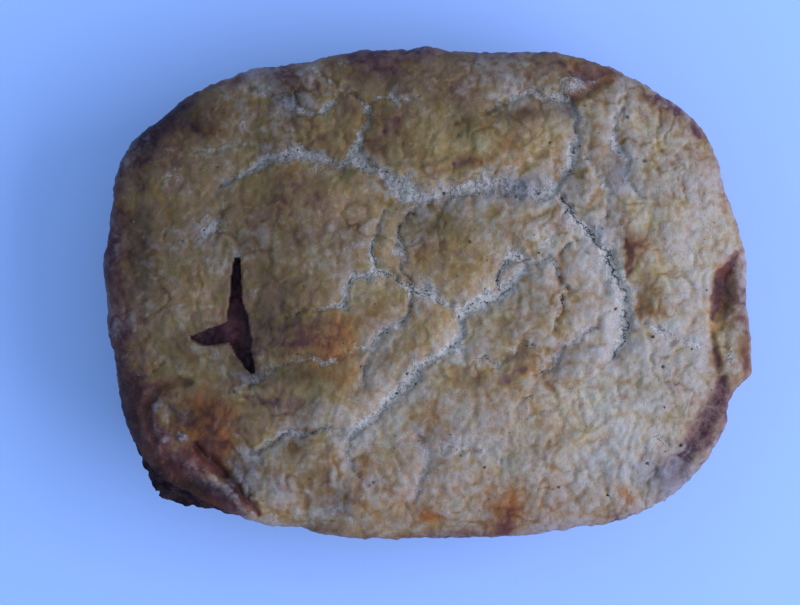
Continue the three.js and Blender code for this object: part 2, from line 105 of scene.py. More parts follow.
# Cracks of the lid: depth, how pale the floor is, which also sets the painted highlight at the
# edge, how dark the painted shadow in the slit in it is, and the line as (x, y, half-width)
# points.
CRACKS = {
    "north": (1.7, 1.0, 0.35, ((-44.3, 22.4, 0.5), (-38.1, 26.1, 1.1), (-27.7, 31, 1.5),
        (-19.2, 27.3, 1.4), (-14.7, 28.4, 1.3), (-10.2, 26.3, 1.6), (-5, 22.3, 2.0),
        (1, 20.8, 2.2), (8, 22, 2.3), (16, 22.8, 2.0), (24, 21.6, 1.7), (28.4, 24.5, 1.5),
        (31.7, 30.4, 1.1), (31.6, 37.5, 1.1))),
    "north_end": (1.7, 0.7, 0.35, ((31.6, 37.5, 1.1), (28.7, 41.5, 1.1), (21.6, 42.1, 1.0),
        (13.3, 39.2, 0.5))),
    "north_west": (1.1, 0.9, 0.3, ((-38.1, 43.7, 0.5), (-29.8, 41.2, 0.9), (-22.7, 38.6, 0.9),
        (-19.4, 41.5, 0.9), (-20.5, 45.4, 0.8), (-25.4, 48.3, 0.5))),
    "north_loop": (1.3, 1.0, 0.4, ((-18.8, 43.2, 0.8), (-14.2, 41.5, 1.0), (-12.8, 37, 1.1),
        (-14.6, 33.8, 1.0), (-15.8, 30, 1.0), (-19, 27.5, 1.0))),
    "north_east_arm": (0.9, 0.9, 0.3, ((-14, 41.3, 0.8), (-9, 41.8, 0.8), (-1.2, 41.7, 0.4))),
    "west_thin": (0.7, 0.6, 0.3, ((-50, 30.2, 0.5), (-44, 31, 0.7), (-38.3, 31.8, 0.5))),
    "centre": (1.3, 0.8, 0.5, ((-9.2, 17.4, 0.5), (-11.7, 9.7, 0.9), (-11.3, 4.7, 1.1),
        (-16.3, 2.9, 1.1), (-17.8, -2.3, 0.9), (-22.1, -3.4, 0.9), (-29.8, -4.2, 0.5))),
    "centre_bar": (1.4, 0.8, 0.6, ((-11.3, 4.6, 0.9), (-5.2, 2.3, 1.0), (-0.6, 0.4, 1.0),
        (4.1, -2, 1.0), (8, -3.6, 1.2))),
    "centre_upper": (1.2, 0.8, 0.5, ((-0.9, 19.8, 0.7), (-5.2, 14, 0.9), (-5.5, 5.4, 0.9),
        (-2.7, 0.6, 0.9), (-7, -6.7, 1.1), (-12, -12.2, 1.1), (-13.8, -19.7, 0.6))),
    "west": (1.1, 0.7, 0.4, ((-11, -10, 0.8), (-18.7, -13.6, 1.1), (-28.3, -14.4, 1.0),
        (-35.1, -16.8, 0.8), (-38.5, -20.3, 0.5))),
    "diagonal": (2.0, 1.0, 0.5, ((21.6, 5.4, 1.2), (15.7, 0, 1.7), (8.6, -3.3, 1.8),
        (7.2, -8.4, 1.6), (4.6, -12.2, 1.6), (0, -14.3, 1.7), (-5.2, -20.6, 1.7),
        (-10.4, -24.6, 1.6), (-14.4, -29.1, 1.4), (-20.9, -28.9, 1.1), (-28.3, -29.6, 0.9),
        (-37.5, -35, 0.5))),
    "diagonal_fork": (1.6, 0.8, 0.7, ((15.5, 0.2, 1.0), (15.1, 3.5, 1.0), (18.5, 8.1, 1.3),
        (22.8, 7.2, 1.3), (26.6, 8, 1.0), (28, 3.5, 0.9), (30.5, 1.4, 0.5))),
    "right": (2.0, 1.0, 1.0, ((28.6, 21, 0.8), (30.8, 16.9, 1.0), (35.4, 11.5, 1.4),
        (39.8, 4.9, 1.6), (42.0, -1.4, 1.5), (41.8, -8.8, 1.2), (40.1, -12.7, 0.7))),
    "right_bar": (0.9, 0.8, 0.2, ((46.6, -6.7, 0.8), (51.6, -8.5, 1.0), (60.5, -12.2, 0.5))),
    "south_east": (1.2, 0.6, 0.5, ((36.4, -8, 0.5), (28.7, -11.9, 1.1), (27.1, -15.3, 1.0),
        (22.8, -17.6, 0.5))),
    "south_east_hook": (1.0, 0.5, 0.5, ((22.2, -11.3, 0.5), (18.5, -11.9, 0.8),
        (15.1, -14.8, 0.9), (10.8, -13.7, 0.5))),
    "north_east": (1.3, 0.8, 0.3, ((42.3, 40, 0.6), (39.6, 32.6, 1.0), (43.6, 27.6, 1.0),
        (42.6, 24.9, 0.9), (46.9, 20.3, 0.5))),
    "north_east_inner": (1.0, 0.7, 0.4, ((34.6, 29.3, 0.5), (38.3, 22.4, 0.9),
        (38.3, 16.2, 0.5))),
    "south_west": (1.1, 0.6, 0.3, ((-17.5, -30.5, 0.9), (-16.3, -35.7, 0.9),
        (-12.6, -40.7, 0.5))),
    "south": (1.1, 0.8, 0.3, ((-2.4, -31.1, 0.6), (-0.1, -33.3, 1.0), (-0.6, -39.7, 0.9),
        (-2.4, -44.7, 0.5))),
    "south_bar": (0.9, 0.7, 0.3, ((-0.1, -33.3, 0.9), (7.7, -32.6, 0.8), (13.3, -33.3, 0.8),
        (16.6, -35.6, 0.5))),
}

# Cracks too fine for the solids, given in the same way.
HAIRLINES = {
    "over_vent": (0.5, 0.5, 0.4, ((-41.2, 13.4, 0.3), (-40.8, 10.5, 0.45), (-41, 7.5, 0.3))),
    "vent_foot": (0.5, 0.6, 0.3, ((-37, -16.6, 0.4), (-35.2, -17.4, 0.6), (-33, -16.4, 0.3))),
    "north_west_pale": (0.4, 0.6, 0.1, ((-40, 39, 0.3), (-40.3, 36, 0.6), (-39.8, 33, 0.4))),
    "north_speck": (0.6, 0.4, 0.3, ((-25.9, 35.5, 0.3), (-26.1, 33.7, 0.6), (-26.5, 32, 0.3))),
    "centre_side": (0.6, 0.6, 0.4, ((-4.9, 10.6, 0.4), (-2.7, 11.8, 0.5), (-0.6, 12.1, 0.3))),
    "centre_foot": (0.5, 0.4, 0.5, ((-6.4, -6.4, 0.4), (-5.2, -7.9, 0.4), (-3.6, -8.2, 0.3))),
    "centre_pale": (0.6, 0.9, 0.0, ((-14.4, -9.3, 0.5), (-15.4, -10.2, 0.8), (-16.3, -11, 0.5))),
    "fork_top": (0.5, 0.4, 0.5, ((15.7, 8.4, 0.3), (16.6, 9.7, 0.3))),
    "fork_end": (0.7, 0.7, 0.4, ((24, 8.1, 0.7), (24.7, 11.2, 0.6), (26.8, 11.5, 0.3))),
    "crevice_top": (0.8, 0.2, 0.7, ((28.4, 8.1, 0.6), (29.6, 9.7, 0.6), (30.5, 11.8, 0.3))),
    "crevice_foot": (0.6, 0.2, 0.7, ((28.7, -0.8, 0.4), (28.4, -3.9, 0.5), (27, -5.1, 0.4),
        (27, -7.6, 0.3))),
    "right_fork": (0.8, 0.6, 0.5, ((38.5, 10, 0.5), (41, 11.4, 0.4))),
    "south_east_low": (0.7, 0.5, 0.5, ((19.7, -23.4, 0.4), (21.3, -22.8, 0.6),
        (25.6, -22.2, 0.4))),
    "south_east_lower": (0.4, 0.3, 0.5, ((24.7, -23.9, 0.3), (26.2, -24, 0.3),
        (27.4, -24.8, 0.3))),
    "west_edge_a": (0.5, 0.3, 0.5, ((-62.8, -12.8, 0.4), (-62.1, -11.6, 0.5), (-61.2, -11, 0.3))),
    "west_edge_b": (0.6, 0.4, 0.6, ((-58.4, -16.5, 0.4), (-57.5, -15.3, 0.6), (-55.4, -14.7, 0.6),
        (-52.9, -15.3, 0.4))),
    "west_edge_c": (0.5, 0.3, 0.5, ((-59.4, -11.6, 0.4), (-58.7, -13.4, 0.4))),
    "west_notch": (1.2, 0.0, 0.9, ((-68, -14.2, 0.5), (-65.8, -14.1, 0.5))),
    "west_band": (0.5, 0.7, 0.0, ((-43.5, 18, 0.5), (-45.5, 14.5, 0.9), (-49.2, 11.8, 0.5))),
    "south_hair": (0.5, 0.3, 0.4, ((-4, -44.7, 0.3), (-4.9, -46.8, 0.3))),
    "south_east_thin": (0.5, 0.3, 0.5, ((48.5, -30.5, 0.3), (51.3, -32.3, 0.4),
        (52.8, -33.6, 0.3))),
    "right_slit": (1.4, 0.0, 1.0, ((29.3, 20.3, 0.5), (29.4, 18.6, 0.6), (29.1, 17, 0.4))),
    "fold_slit": (1.2, 0.0, 0.8, ((-38.3, -41.3, 0.4), (-38.3, -43.7, 0.4))),
}

# Creases of the folds and of the thumb press: depth, how brown (browning and painted shade in the
# crease), how red, and the line.
FOLDS = {
    "left_arc": (1.3, 0.3, 0.45, ((-50.5, -19.4, 0.1), (-53.8, -18.7, 0.5), (-57.4, -19.9, 0.8),
        (-59.4, -22.5, 1.0), (-60.1, -26, 0.9), (-58.4, -31, 0.5))),
    "left_crease": (1.9, 0.6, 0.45, ((-49.5, -32.6, 0.4), (-46.4, -35.8, 0.8),
        (-43.6, -38.2, 0.7), (-39.8, -42.7, 0.6), (-36.2, -47.4, 0.2))),
    "left_slope": (1.0, 0.7, 0.3, ((-55.4, -36.2, 1.0), (-51.6, -41.0, 1.8), (-45, -44.9, 1.2))),
    "thumb_edge": (1.7, 0.75, 0.25, ((66.6, 8.6, 0.3), (64.8, 5.6, 0.7), (62.7, 2.4, 1.2),
        (61.8, -1.2, 1.0), (61.2, -5.2, 0.4))),
    "pad_edge": (1.2, 0.34, 0.1, ((61.0, -7, 0.2), (61.3, -10.5, 0.3), (62, -13.5, 0.4),
        (62.6, -16.4, 0.3))),
    "thumb_press": (2.4, 0.26, 0.25, ((65.6, 6.8, 1.0), (64, 3.4, 2.1), (63.4, -0.6, 2.5),
        (62.6, -4.8, 1.7))),
    "rim_groove": (1.8, 0.6, 0.1, ((63.2, -18, 0.8), (62.8, -22, 2.2), (60.4, -26.6, 3.0),
        (57.6, -31.4, 3.0), (54.2, -37, 2.2))),
    "top_fold": (1.3, 0.3, 0.3, ((30.8, 41.8, 0.6), (35.4, 44.2, 1.1), (38.5, 46.6, 0.9),
        (35, 47.2, 1.0), (31.6, 48, 0.8))),
    "thumb_crease": (1.1, 0.25, 0.3, ((61.4, -7.4, 0.7), (65.5, -6.2, 0.8), (68.5, -5.4, 0.5))),
    "thumb_arm": (0.9, 0.25, 0.4, ((64.8, 6.9, 0.7), (67, 7.8, 0.7), (67.9, 9.1, 0.5))),
}

# Raised pads: x, y, half-length, half-width, turn in degrees, height.
PADS = (
    (-54.8, -23.8, 3.6, 4.6, 0, 1.0), (-47.2, -38.9, 5.6, 1.5, -37, 1.0),
    (-46.4, -28.6, 3.4, 6.4, -28, 0.5), (32, 45.2, 4.4, 2, 8, 0.9), (67, 0.4, 1.8, 6, 0, 0.7),
    (65.4, -25, 2, 6, -12, 0.8), (33, -30.6, 8.6, 1.5, 30, 0.7), (38.6, 7.2, 1.6, 5.6, 28, 0.5),
    (-32, -6, 7, 6, 0, 0.6), (7, 8.6, 8, 7, 0, 0.7), (-24, 14, 9, 8, 0, 0.6),
    (54, 12, 7, 8, 0, 0.5), (16, -24, 9, 7, 20, 0.6),
)
# Broad lumps: size, height, and how much higher they are at the right-hand end.
LUMPS = ((11, 0.55, 0.0), (5.2, 0.3, 0.16))

# The three arms of the vent, as (x, y, half-width) points.
VENT_SLASHES = (
    ((-40.6, 6.9, 0.6), (-40.7, 3.5, 0.95), (-40.8, -1.4, 1.3), (-40.5, -5, 2.1),
     (-40.4, -8.4, 2.5)),
    ((-40.8, -7.8, 2.4), (-43.5, -8.6, 1.95), (-46.4, -9.4, 1.7), (-48.8, -9.6, 1.1),
     (-50.1, -9.4, 0.5)),
    ((-40.6, -8, 2.5), (-39.7, -10.6, 2.2), (-38.9, -13.2, 1.5), (-37.8, -15.6, 0.9),
     (-37.2, -16.5, 0.45)),
)
VENT_FLOOR_Z = 27.1
FILLING_TOP_Z = 31.2

# Pits in the lid.
PITS = (
    (-9.3, 34.5), (6.2, 36.4), (5.6, 27.6), (6.7, 33.8), (-29.2, 16.9), (-34.7, -12), (-65.5, 3),
    (50.3, 30.6), (48.2, 31.2), (53.4, 29.5),
)
PIT_RADIUS = 0.45
PIT_DEPTH = 0.5

# ---- Browning, painted light and shade, and painted sheen, as the photograph shows it ----

# Patches: x, y, half-length, half-width, turn in degrees, how much browner, how much redder.
BROWN_PATCHES = (
    (-26, -9, 5.5, 5, 0, 0.2, 0.25), (-19.5, -9, 3, 4.5, 0, 0.08, 0.5),
    (-46.4, -27.5, 5, 7, -25, 0.16, 1.3), (-45.2, -33.8, 2.6, 3.4, -40, 0.3, 0.9),
    (-52.6, -32.5, 2.4, 4, 25, 0.14, 0.4), (-51, -42, 6.5, 3.2, -35, 0.26, 0.3),
    (-44.5, -46.3, 7, 2, -22, 0.2, 0.3), (-62.5, -25.5, 3.4, 9, 8, 0.3, 0.2),
    (-58.5, -34.5, 4, 5, 35, 0.24, 0.3), (-57, -20.5, 3, 2, 0, 0.15, 0.4),
    (-47.5, 34.5, 5, 1.8, 0, 0.12, 0.35), (-9.5, 49, 5, 2.2, 0, 0.25, 0.4),
    (57.8, 34.5, 2, 2, 0, 0.35, 0.2), (10.5, 27.8, 5, 1.3, 0, 0.08, 0.45),
    (17, 31.8, 2.5, 1.6, 0, 0.1, 0.45), (20.8, 37.8, 2.6, 1, 0, 0.18, 0.2),
    (4.8, 43, 0.8, 1, 0, 0.2, 0.2), (52.5, 27.7, 1.2, 1.5, 0, 0.2, 0),
    (47.5, 24.8, 1.2, 2.2, 0, 0.22, 0), (50.6, 21.2, 1.2, 1.4, 0, 0.2, 0),
    (53.6, 20.5, 1.3, 1.7, 0, 0.2, 0), (55.1, 13.4, 0.6, 1.8, 0, 0.25, 0.2),
    (56.8, 8.7, 0.7, 0.9, 0, 0.25, 0.2), (52.5, 5.4, 0.9, 0.9, 0, 0.18, 0.2),
    (49.6, -4, 2.6, 1.2, 0, 0.18, 0.2), (54, -20.7, 0.8, 2, 0, 0.26, 0.15),
    (51.6, -18.2, 0.9, 0.9, 0, 0.26, 0.15), (-13.2, -37.7, 1.5, 2.3, 0, 0.08, 0.5),
    (-15.6, -43.5, 2.2, 4.2, 0, 0.22, 0.2), (-21, -42.5, 1.3, 2.8, 0, 0.2, 0.2),
    (0.2, -47.6, 2.4, 2, 0, 0.1, 0.8), (16.4, -48.3, 3.6, 4.5, 0, 0.27, 0.45),
    (18.1, -45.3, 0.9, 4.5, -15, 0.14, 0.4), (24.4, -48, 0.9, 1.3, 0, 0.2, 0.2),
    (42, -43, 3.8, 1.2, -42, 0.15, 0.7), (38.5, -48.5, 6, 1.6, 12, 0.14, 0.1),
    (-22, -50.5, 4.5, 1.6, -5, 0.3, 0.2), (34.6, 48.2, 4, 2.4, -8, 0.4, 0.3),
    (38.8, 45.4, 1.2, 0.5, 0, 0.05, 0.6), (64.8, 0.6, 3.8, 7.5, 0, 0.18, 0.15),
    (63.4, 5, 1.6, 2.2, 0, 0.1, 0.6), (62.4, -2, 1.6, 2.4, 0, 0.1, 0.4),
    (61.6, -13.3, 1.2, 2.2, 0, 0.3, 0.3), (69, -13, 1.2, 4.6, 0, 0.25, 0.6),
    (52.5, -41, 5, 3.4, 38, 0.2, 0.1), (42, 32.7, 1.2, 2.6, 0, 0.26, 0.1),
    (43.4, 7, 0.55, 3.4, 4, 0.9, 1.2), (44.5, 10.5, 3, 2, 0, 0.1, 0.5),
    (45.2, -3.4, 1, 3.4, 0, 0.25, 0.5), (43.6, -7.9, 0.9, 1.1, 0, 0.4, 0.7),
    (41.5, -12.2, 1, 1.6, -30, 0.3, 0.3), (47, -3.8, 2.4, 1.6, 0, 0.16, 0.1),
    (38.4, 15.7, 0.5, 1.4, 0, 0.4, 0.4), (16.9, -18.2, 1, 1, 0, 0.3, 0.2),
    (28.2, 5, 1, 3.4, 0, 0.28, 0.2),
)
# Broad tones: x, y, half-length, half-width, how much browner, redder, more sheen and more light.
# The sheen is painted sheen, and the light is painted light, painted shade where it is below 0.
BROAD_TONES = (
    (-8, 35, 9, 8, 0.02, 0.1, -0.25, 0), (8.5, 35, 4, 5, 0.08, 0.05, -0.2, -0.6),
    (20, 31, 8, 4.5, -0.1, 0, -0.15, 0.6), (21.5, 38.5, 4.5, 1.6, 0.15, 0, -0.1, -0.5),
    (-37, 29, 5, 7, 0, 0, -0.2, 0), (-13, 29, 3, 4, 0, 0, 0, -0.4),
    (-23, 30, 3, 3, 0, 0, 0, -0.4), (-7, 45, 2.5, 3, 0.04, 0, 0, -0.5),
    (-20, 33, 8, 5, 0, 0, -0.15, 0.2), (18, 41, 3, 3, 0, 0, 0, 0.4),
    (49, 32, 9, 10, -0.1, 0, 0.1, 0.15), (41, 27, 2.5, 6, 0.14, 0.05, 0, -0.85),
    (31, 24, 3, 4, 0, 0, 0, -0.4), (41, 14, 3, 4, 0, 0, 0, -0.4),
    (-17, 19, 9, 4.5, -0.03, 0, 0, 0.4), (-24, -23, 3, 3, 0, 0, 0, -0.4),
    (2, 15, 9, 4, 0.06, 0.1, -0.2, -0.5), (22, 15, 4, 4, -0.05, 0, 0.1, 0.5),
    (19, 22, 5, 3, 0, 0, 0, -0.85), (-2, 25, 5, 2.5, 0, 0, -0.2, 0.55),
    (6, 31, 9, 5, 0, 0, -0.4, 0.25), (7, 9, 8, 5, 0.04, 0.12, -0.1, 0.05),
    (36, 17, 5, 5, -0.04, 0, 0.1, 0.35), (49, 18, 5, 5, -0.04, 0, 0.1, 0.3),
    (57, 5, 6, 10, -0.24, -0.1, 0.1, 1.0), (51.5, 3, 2.5, 3, -0.1, 0, 0, 0.6),
    (46.8, 0, 2.2, 5, 0.08, 0.15, -0.1, -0.8), (35, -3, 4, 6, -0.04, 0, 0, 0.45),
    (40.6, 2, 2.2, 6, -0.08, 0, 0.1, 1.0), (43.4, 7, 1.2, 3.6, 0.05, 0, -0.2, -0.6),
    (-33, -6, 6.5, 9, 0.1, 0, -0.1, -0.5), (-24, -14, 5, 8, 0.06, 0.05, -0.2, -0.1),
    (-27.5, -31, 4, 8, 0.05, 0, 0, -0.45), (-48, -1, 7, 5, -0.05, 0, 0.1, 0.35),
    (-53, -14, 6, 5, 0.02, 0, -0.1, -0.2), (-19, -12, 7, 9, 0.04, 0.3, -0.3, 0.2),
    (3, -9, 4, 10, -0.04, 0.05, 0, 0.35), (10, 2, 6, 3.5, 0, 0, 0, 0.35),
    (25, -2, 3, 3, 0.05, 0.05, 0, -0.4), (30, -15, 4, 5, 0.08, 0.1, -0.1, -0.4),
    (20, -16, 6, 5, 0.04, 0.15, -0.1, 0.1), (-9, -25, 6, 5, -0.04, 0.2, -0.1, 0.4),
    (1, -29, 4.5, 7, 0.02, 0.3, 0, -0.35), (14, -25, 6, 4, -0.04, 0.1, 0.1, 0.35),
    (39, -25, 8, 6, -0.24, -0.1, 0.15, 1.0), (50, -17, 8, 8, -0.08, -0.1, 0.15, 0.3),
    (-38, -20, 7, 5, 0, -0.3, 0.1, 0.1), (-40, -38, 4, 6, 0, 0, 0.2, -0.8),
    (-6, -42, 16, 8, 0.02, 0.3, 0.03, -0.1), (26, -45, 14, 6, 0.02, 0.4, 0.2, -0.2),
    (47, -37, 12, 7, 0, -0.1, 0.4, 0), (52, -39, 6, 4, 0.06, 0, 0.1, -0.85),
    (-19.5, -45.5, 5, 4.5, 0, 0, 0, -0.55), (-36, -46, 6, 3, -0.15, 0.1, 0, 0.4),
    (-60, 33, 4, 7, 0.04, 0.05, 0, -0.6), (-56, 40, 4, 4, 0.06, 0.05, -0.1, -0.7),
    (-53, 24, 5, 5, 0, 0, 0.05, 0.2), (-38, 12, 9, 6, 0, 0, 0, -0.2),
    (-32, 21, 6, 5, 0, 0, -0.35, 0.1), (-61, 9, 3.5, 11, 0.08, 0.1, 0, -0.6),
    (-66.5, -4, 2, 6, 0, 0.1, 0, 0.35), (-58.5, -40, 4.5, 5, 0.12, 0.1, 0, -0.8),
    (-63.5, -26, 3.5, 8, 0.1, 0, 0.05, -0.6), (-49, -26, 5, 6, 0.05, 0.2, 0, -0.5),
    (-55, -33, 3.5, 3, -0.05, 0, 0, 0.6), (-49, -43.5, 7, 3, 0.14, 0.3, 0, -0.6),
    (-48, -38, 4.5, 2.5, -0.12, 0, 0, 0.6), (-56.6, -25, 1.8, 4, -0.1, -0.1, 0.1, 0.35),
    (65, -2, 3.6, 8, 0.1, 0, 0, -0.6), (68.5, -12, 2.5, 6, 0.04, 0, 0, -0.5),
    (60, -27, 4, 7, 0.06, 0, 0.15, -0.4), (57, -6, 3, 4, 0, 0, 0.1, 0.3),
    (56, -23, 3, 5, -0.05, 0, 0.15, 0.8), (-38, -17.5, 4.5, 2.6, 0.02, 0, -0.1, -0.8),
    (-26, -17.5, 7, 2.6, 0.04, 0, -0.2, -0.6), (30.5, 39.5, 2.4, 3, 0.1, 0, -0.1, -0.9),
    (-29.5, 42, 4, 4, 0, 0, 0, -0.7), (-49, 37, 4, 5, 0.03, 0, 0, -0.5),
    (-34, 31.5, 4, 4.5, 0, 0, 0, -0.45), (-11, 9, 2.6, 8, 0, 0, 0, 0.35),
    (35.5, -28, 4, 4, -0.12, 0, 0, 0.8), (-7, 23.5, 3, 2, 0, 0, 0, -0.5),
    (62.3, 1.5, 1.2, 4, 0.1, 0, -0.1, -0.9), (-51, -41.5, 3.5, 1.8, 0.2, 0, -0.2, -0.9),
    (0, -47.5, 4, 2, 0, 0.1, 0.15, -0.3), (-7, -30, 2.5, 4, 0, 0, 0, 0.5),
    (-35, -48.5, 3, 2.5, -0.3, 0, 0.1, 0.8),
)
# Patches of pale dough: x, y, half-length, half-width, turn, how pale.
PALE_PATCHES = (
    (-17.3, 49, 2.3, 1, 0, 0.5), (-55, 25.5, 2, 2.6, 0, 0.45), (-28.1, -39.1, 1, 0.8, 0, 0.5),
    (-23.7, 26.3, 0.9, 0.8, 0, 0.4), (38.7, -43.4, 1, 1, 0, 0.5), (-19.5, -47, 3.2, 2, 0, 0.4),
    (-46.8, 14.5, 3.4, 4.6, 0, 0.26), (32, 45, 4.4, 2.2, 8, 0.55), (66.4, -24, 1.6, 7, -12, 0.3),
    (-40.8, -37, 1.9, 3.8, -28, 0.4), (-47.4, -38.6, 4.6, 0.7, -37, 0.2),
    (42, 5, 0.8, 4.5, 20, 0.7), (-39, -11.5, 7, 2.2, 0, 0.12), (65, -12.5, 1.6, 3, 0, 0.35),
)
# Browning of the rim, darker on the left as painted shade: direction and spread in degrees, width,
# how much browner, redder and more painted sheen.
RIM_BROWN_AND_SHADE = (
    (180, 30, 5.6, 0.52, 0.4, 0.38), (152, 16, 7, 0.5, 0.2, 0.46), (131, 12, 5, 0.33, 0.1, 0.62),
    (206, 17, 8.5, 0.5, 0.35, 0.3), (226, 9, 6, 0.46, 0.3, 0.25), (38, 10, 3, 0.34, 0.1, 0.2),
    (95, 14, 3, 0.36, 0, 0.3), (70, 12, 2.4, 0.32, 0, 0.3), (345, 9, 2.6, 0.28, 0.1, 0.1),
    (318, 14, 4.2, 0.34, 0, 0.5), (298, 12, 3.4, 0.2, 0, 0.5), (255, 12, 2.6, 0.34, 0.25, 0.1),
    (275, 30, 2.4, 0.36, 0.3, 0.15), (0, 14, 2.4, 0.24, 0.1, 0.2), (18, 10, 2.4, 0.24, 0, 0.2),
)
# The corner that is browned in streaks: x, y, half-length, half-width and turn.
BROWNED_CORNER = (-54, -33, 12, 14, 0)
# A wet streak along the fold there, given in the same way: glossy, with painted highlights on it.
WET_STREAK = (-50.2, -32, 5.5, 2.2, -47)
# The red meat in the middle of the vent, given in the same way.
MEAT_PATCH = (-41.6, -7, 2.2, 5, 0)

# ---- Noise: weight, size in millimetres and seed of each layer ----

EDGE_WANDER = ((0.26, 3.4, 41), (0.2, 1.3, 42), (0.1, 0.7, 43))
CRACK_WARP_X = ((0.75, 4.3, 21), (0.55, 1.8, 22), (0.34, 0.9, 25))
CRACK_WARP_Y = ((0.75, 4.3, 23), (0.55, 1.8, 24), (0.34, 0.9, 26))
SLIT_BREAKS = ((1, 2.7, 31), (0.5, 1.2, 32))
CRACK_SWELLS = ((0.35, 3.6, 33), (0.25, 1.5, 34))
FLOUR_STREAKS = ((0.35, 7.0, 35), (0.175, 2.9, 36))
CELL_BEND_X = ((1.6, 5.6, 51), (0.8, 2.1, 52), (0.3, 1.0, 55))
CELL_BEND_Y = ((1.6, 5.6, 53), (0.8, 2.1, 54), (0.3, 1.0, 56))
CRINKLES = ((1, 7.5, 57), (0.5, 3.2, 58))
CRINKLE_AREAS = ((1, 13, 59),)
WRINKLES = ((1, 2.6, 60),)
WRINKLE_BREAKS = ((0.5, 1.1, 63),)
PLATE_AREAS = ((1, 17, 65),)
SCALE_AREAS = ((1, 12, 66),)
SKIN_LUMPS = ((0.12, 2.3, 81), (0.08, 1.2, 82), (0.06, 0.8, 83))
FLOOR_LUMPS = ((0.26, 1.3, 84), (0.2, 0.8, 85))
VENT_WANDER_X = ((0.16, 1.2, 86),)
VENT_WANDER_Y = ((0.16, 1.2, 87),)
BAKE_LUMPS = ((0.07, 9, 91), (0.07, 4, 92))
SHEEN_LUMPS = ((-0.16, 6, 94), (0.12, 15, 95))
STREAKS = ((1, 3.4, 96),)
STREAK_BREAKS = ((0.6, 1.7, 97),)
CORNER_BLUSH = ((0.5, 3.8, 98),)
WET_BREAKS = ((1, 0.9, 99),)
MOTTLE = ((1, 1.5, 100), (0.6, 0.7, 93))
WALL_BUMPS = ((0.3, 6.0, 101), (0.16, 2.2, 102))
FLANGE_BUMPS = ((0.22, 2.0, 103), (0.16, 0.9, 107))
FLANGE_TEETH = ((0.6, 1.5, 104),)
CASE_BAKE = ((0.09, 9.0, 105), (0.07, 3.0, 106))
FILLING_LUMPS = ((0.55, 2.3, 9), (0.3, 1.2, 111), (0.15, 0.6, 112))
MEAT_LUMPS = ((0.35, 2.2, 113),)

# Cells of the skin: size in millimetres and seed, how wide the slope at their borders is, and
# how much they differ in height from one another.
PLATE_CELLS = (9.0, 64)
PLATE_BORDER = 0.24
PLATE_STEP = 0.4
SCALE_CELLS = (4.6, 61)
SCALE_BORDER = 0.4
SCALE_STEP = 0.5
GRAIN_CELLS = (1.5, 71)
GRAIN_BORDER = 0.8
GRAIN_STEP = 0.5

# Multipliers, shifts and span of the noise's hash, and how far a cell's middle strays.
HASH_COLUMN = 374761393
HASH_ROW = 668265263
HASH_SEED = 1442695041
HASH_MIX = 1274126177
HASH_SHIFTS = (13, 16)
HASH_MASK = 0xFFFFFFFF
HASH_HALF = 2147483648.0
CELL_JITTER = 0.42

# Far off, next to nothing and the least size that is divided by.
FAR = 1e9
TINY = 1e-9
LEAST = 1e-6

# ---- Cracks and folds, in millimetres where a number is a length ----

# Steps of a curve for each of its points, and round the outline.
CURVE_STEPS = 14
VENT_STEPS = 24
OUTLINE_STEPS = 1440
# How far from its line a crack or a fold still counts.
LINE_MARGIN = 8.0
# A crack's torn part: share of its half-width, what is added, and how soon it is at full depth.
TORN_SHARE = 0.97
TORN_EXTRA = 0.12
TORN_SLOPE = 0.6
# The valley round it: share of the half-width, what is added, and its part of the depth.
VALLEY_SHARE = 1.3
VALLEY_SIDE = 1.1
VALLEY_PART = 0.55
# Floury crumb fills the floors of cracks whose half-width is in this span, out to this much.
FLOURY_WIDTHS = (0.4, 1.4)
FLOURY_REACH = 1.25
# How far the painted highlight at a crack's edge reaches past it.
HALO_REACH = 0.9
# A slit lies this share of the half-width to the steep side, is kept out to a reach, and shows
# where its painted shadow and the breaks add up to enough and the crack is wide enough.
SLIT_SHIFT = 0.25
SLIT_REACH = 1.5
SLIT_NEAR = 1.0
SLIT_HOLD = 1.6
SLIT_SHOWS = (0.9, 1.2)
SLIT_WIDTHS = (0.25, 0.5)
SLIT_DEPTH = 0.45
SLIT_HALF_WIDTH = 0.3
# The side of a crack that overhangs, where its slit lies, faces this way in plan.
STEEP_SIDE = (0.8, -0.6)
# A fold's half-width: share of its line's and what is added, its roundness, and its colour's.
FOLD_SHARE = 1.5
FOLD_EXTRA = 0.7
FOLD_POWER = 0.9
FOLD_TINT_SHARE = 0.75
# Folds follow the cracks' warp by half.
FOLD_WARP = 0.5

# ---- The skin's relief, in millimetres ----

# The lid is rougher to the right, over this span in x, and more of its lines show there.
RIGHTWARD = (-5, 45)
RIGHT_SHOWS = 0.5
SCALE_HEIGHT = 0.17
SCALE_HEIGHT_RIGHT = 0.04
SCALE_LINE_WIDTH = 0.1
SCALE_LINE_SHOWS = (-0.1, 0.5)
PLATE_HEIGHT = 0.26
PLATE_SHOWS = (-0.6, 0.2)
GRAIN_HEIGHT = 0.12
CREASE_DEPTH = 0.3
CREASE_WIDTH = 0.11
CREASE_SHOWS = (-0.2, 0.4)
WRINKLE_DEPTH = 0.07
WRINKLE_WIDTH = 0.16
# Smoother on the floor of a crack.
FLOOR_CALM = 0.5
# Streaks of the browned corner: direction, how much narrower than long, and height.
STREAK_TURN = (0.8, -0.6)
STREAK_SQUEEZE = 3.0
STREAK_HEIGHT = 0.24
# The relief starts at this share at the lid's edge.
EDGE_RELIEF = 0.12
VENT_LIP = 0.22
VENT_LIP_WIDTH = 1.3
VENT_WALL = (-0.12, 0.3)

# ---- How the lid's masks are made up ----

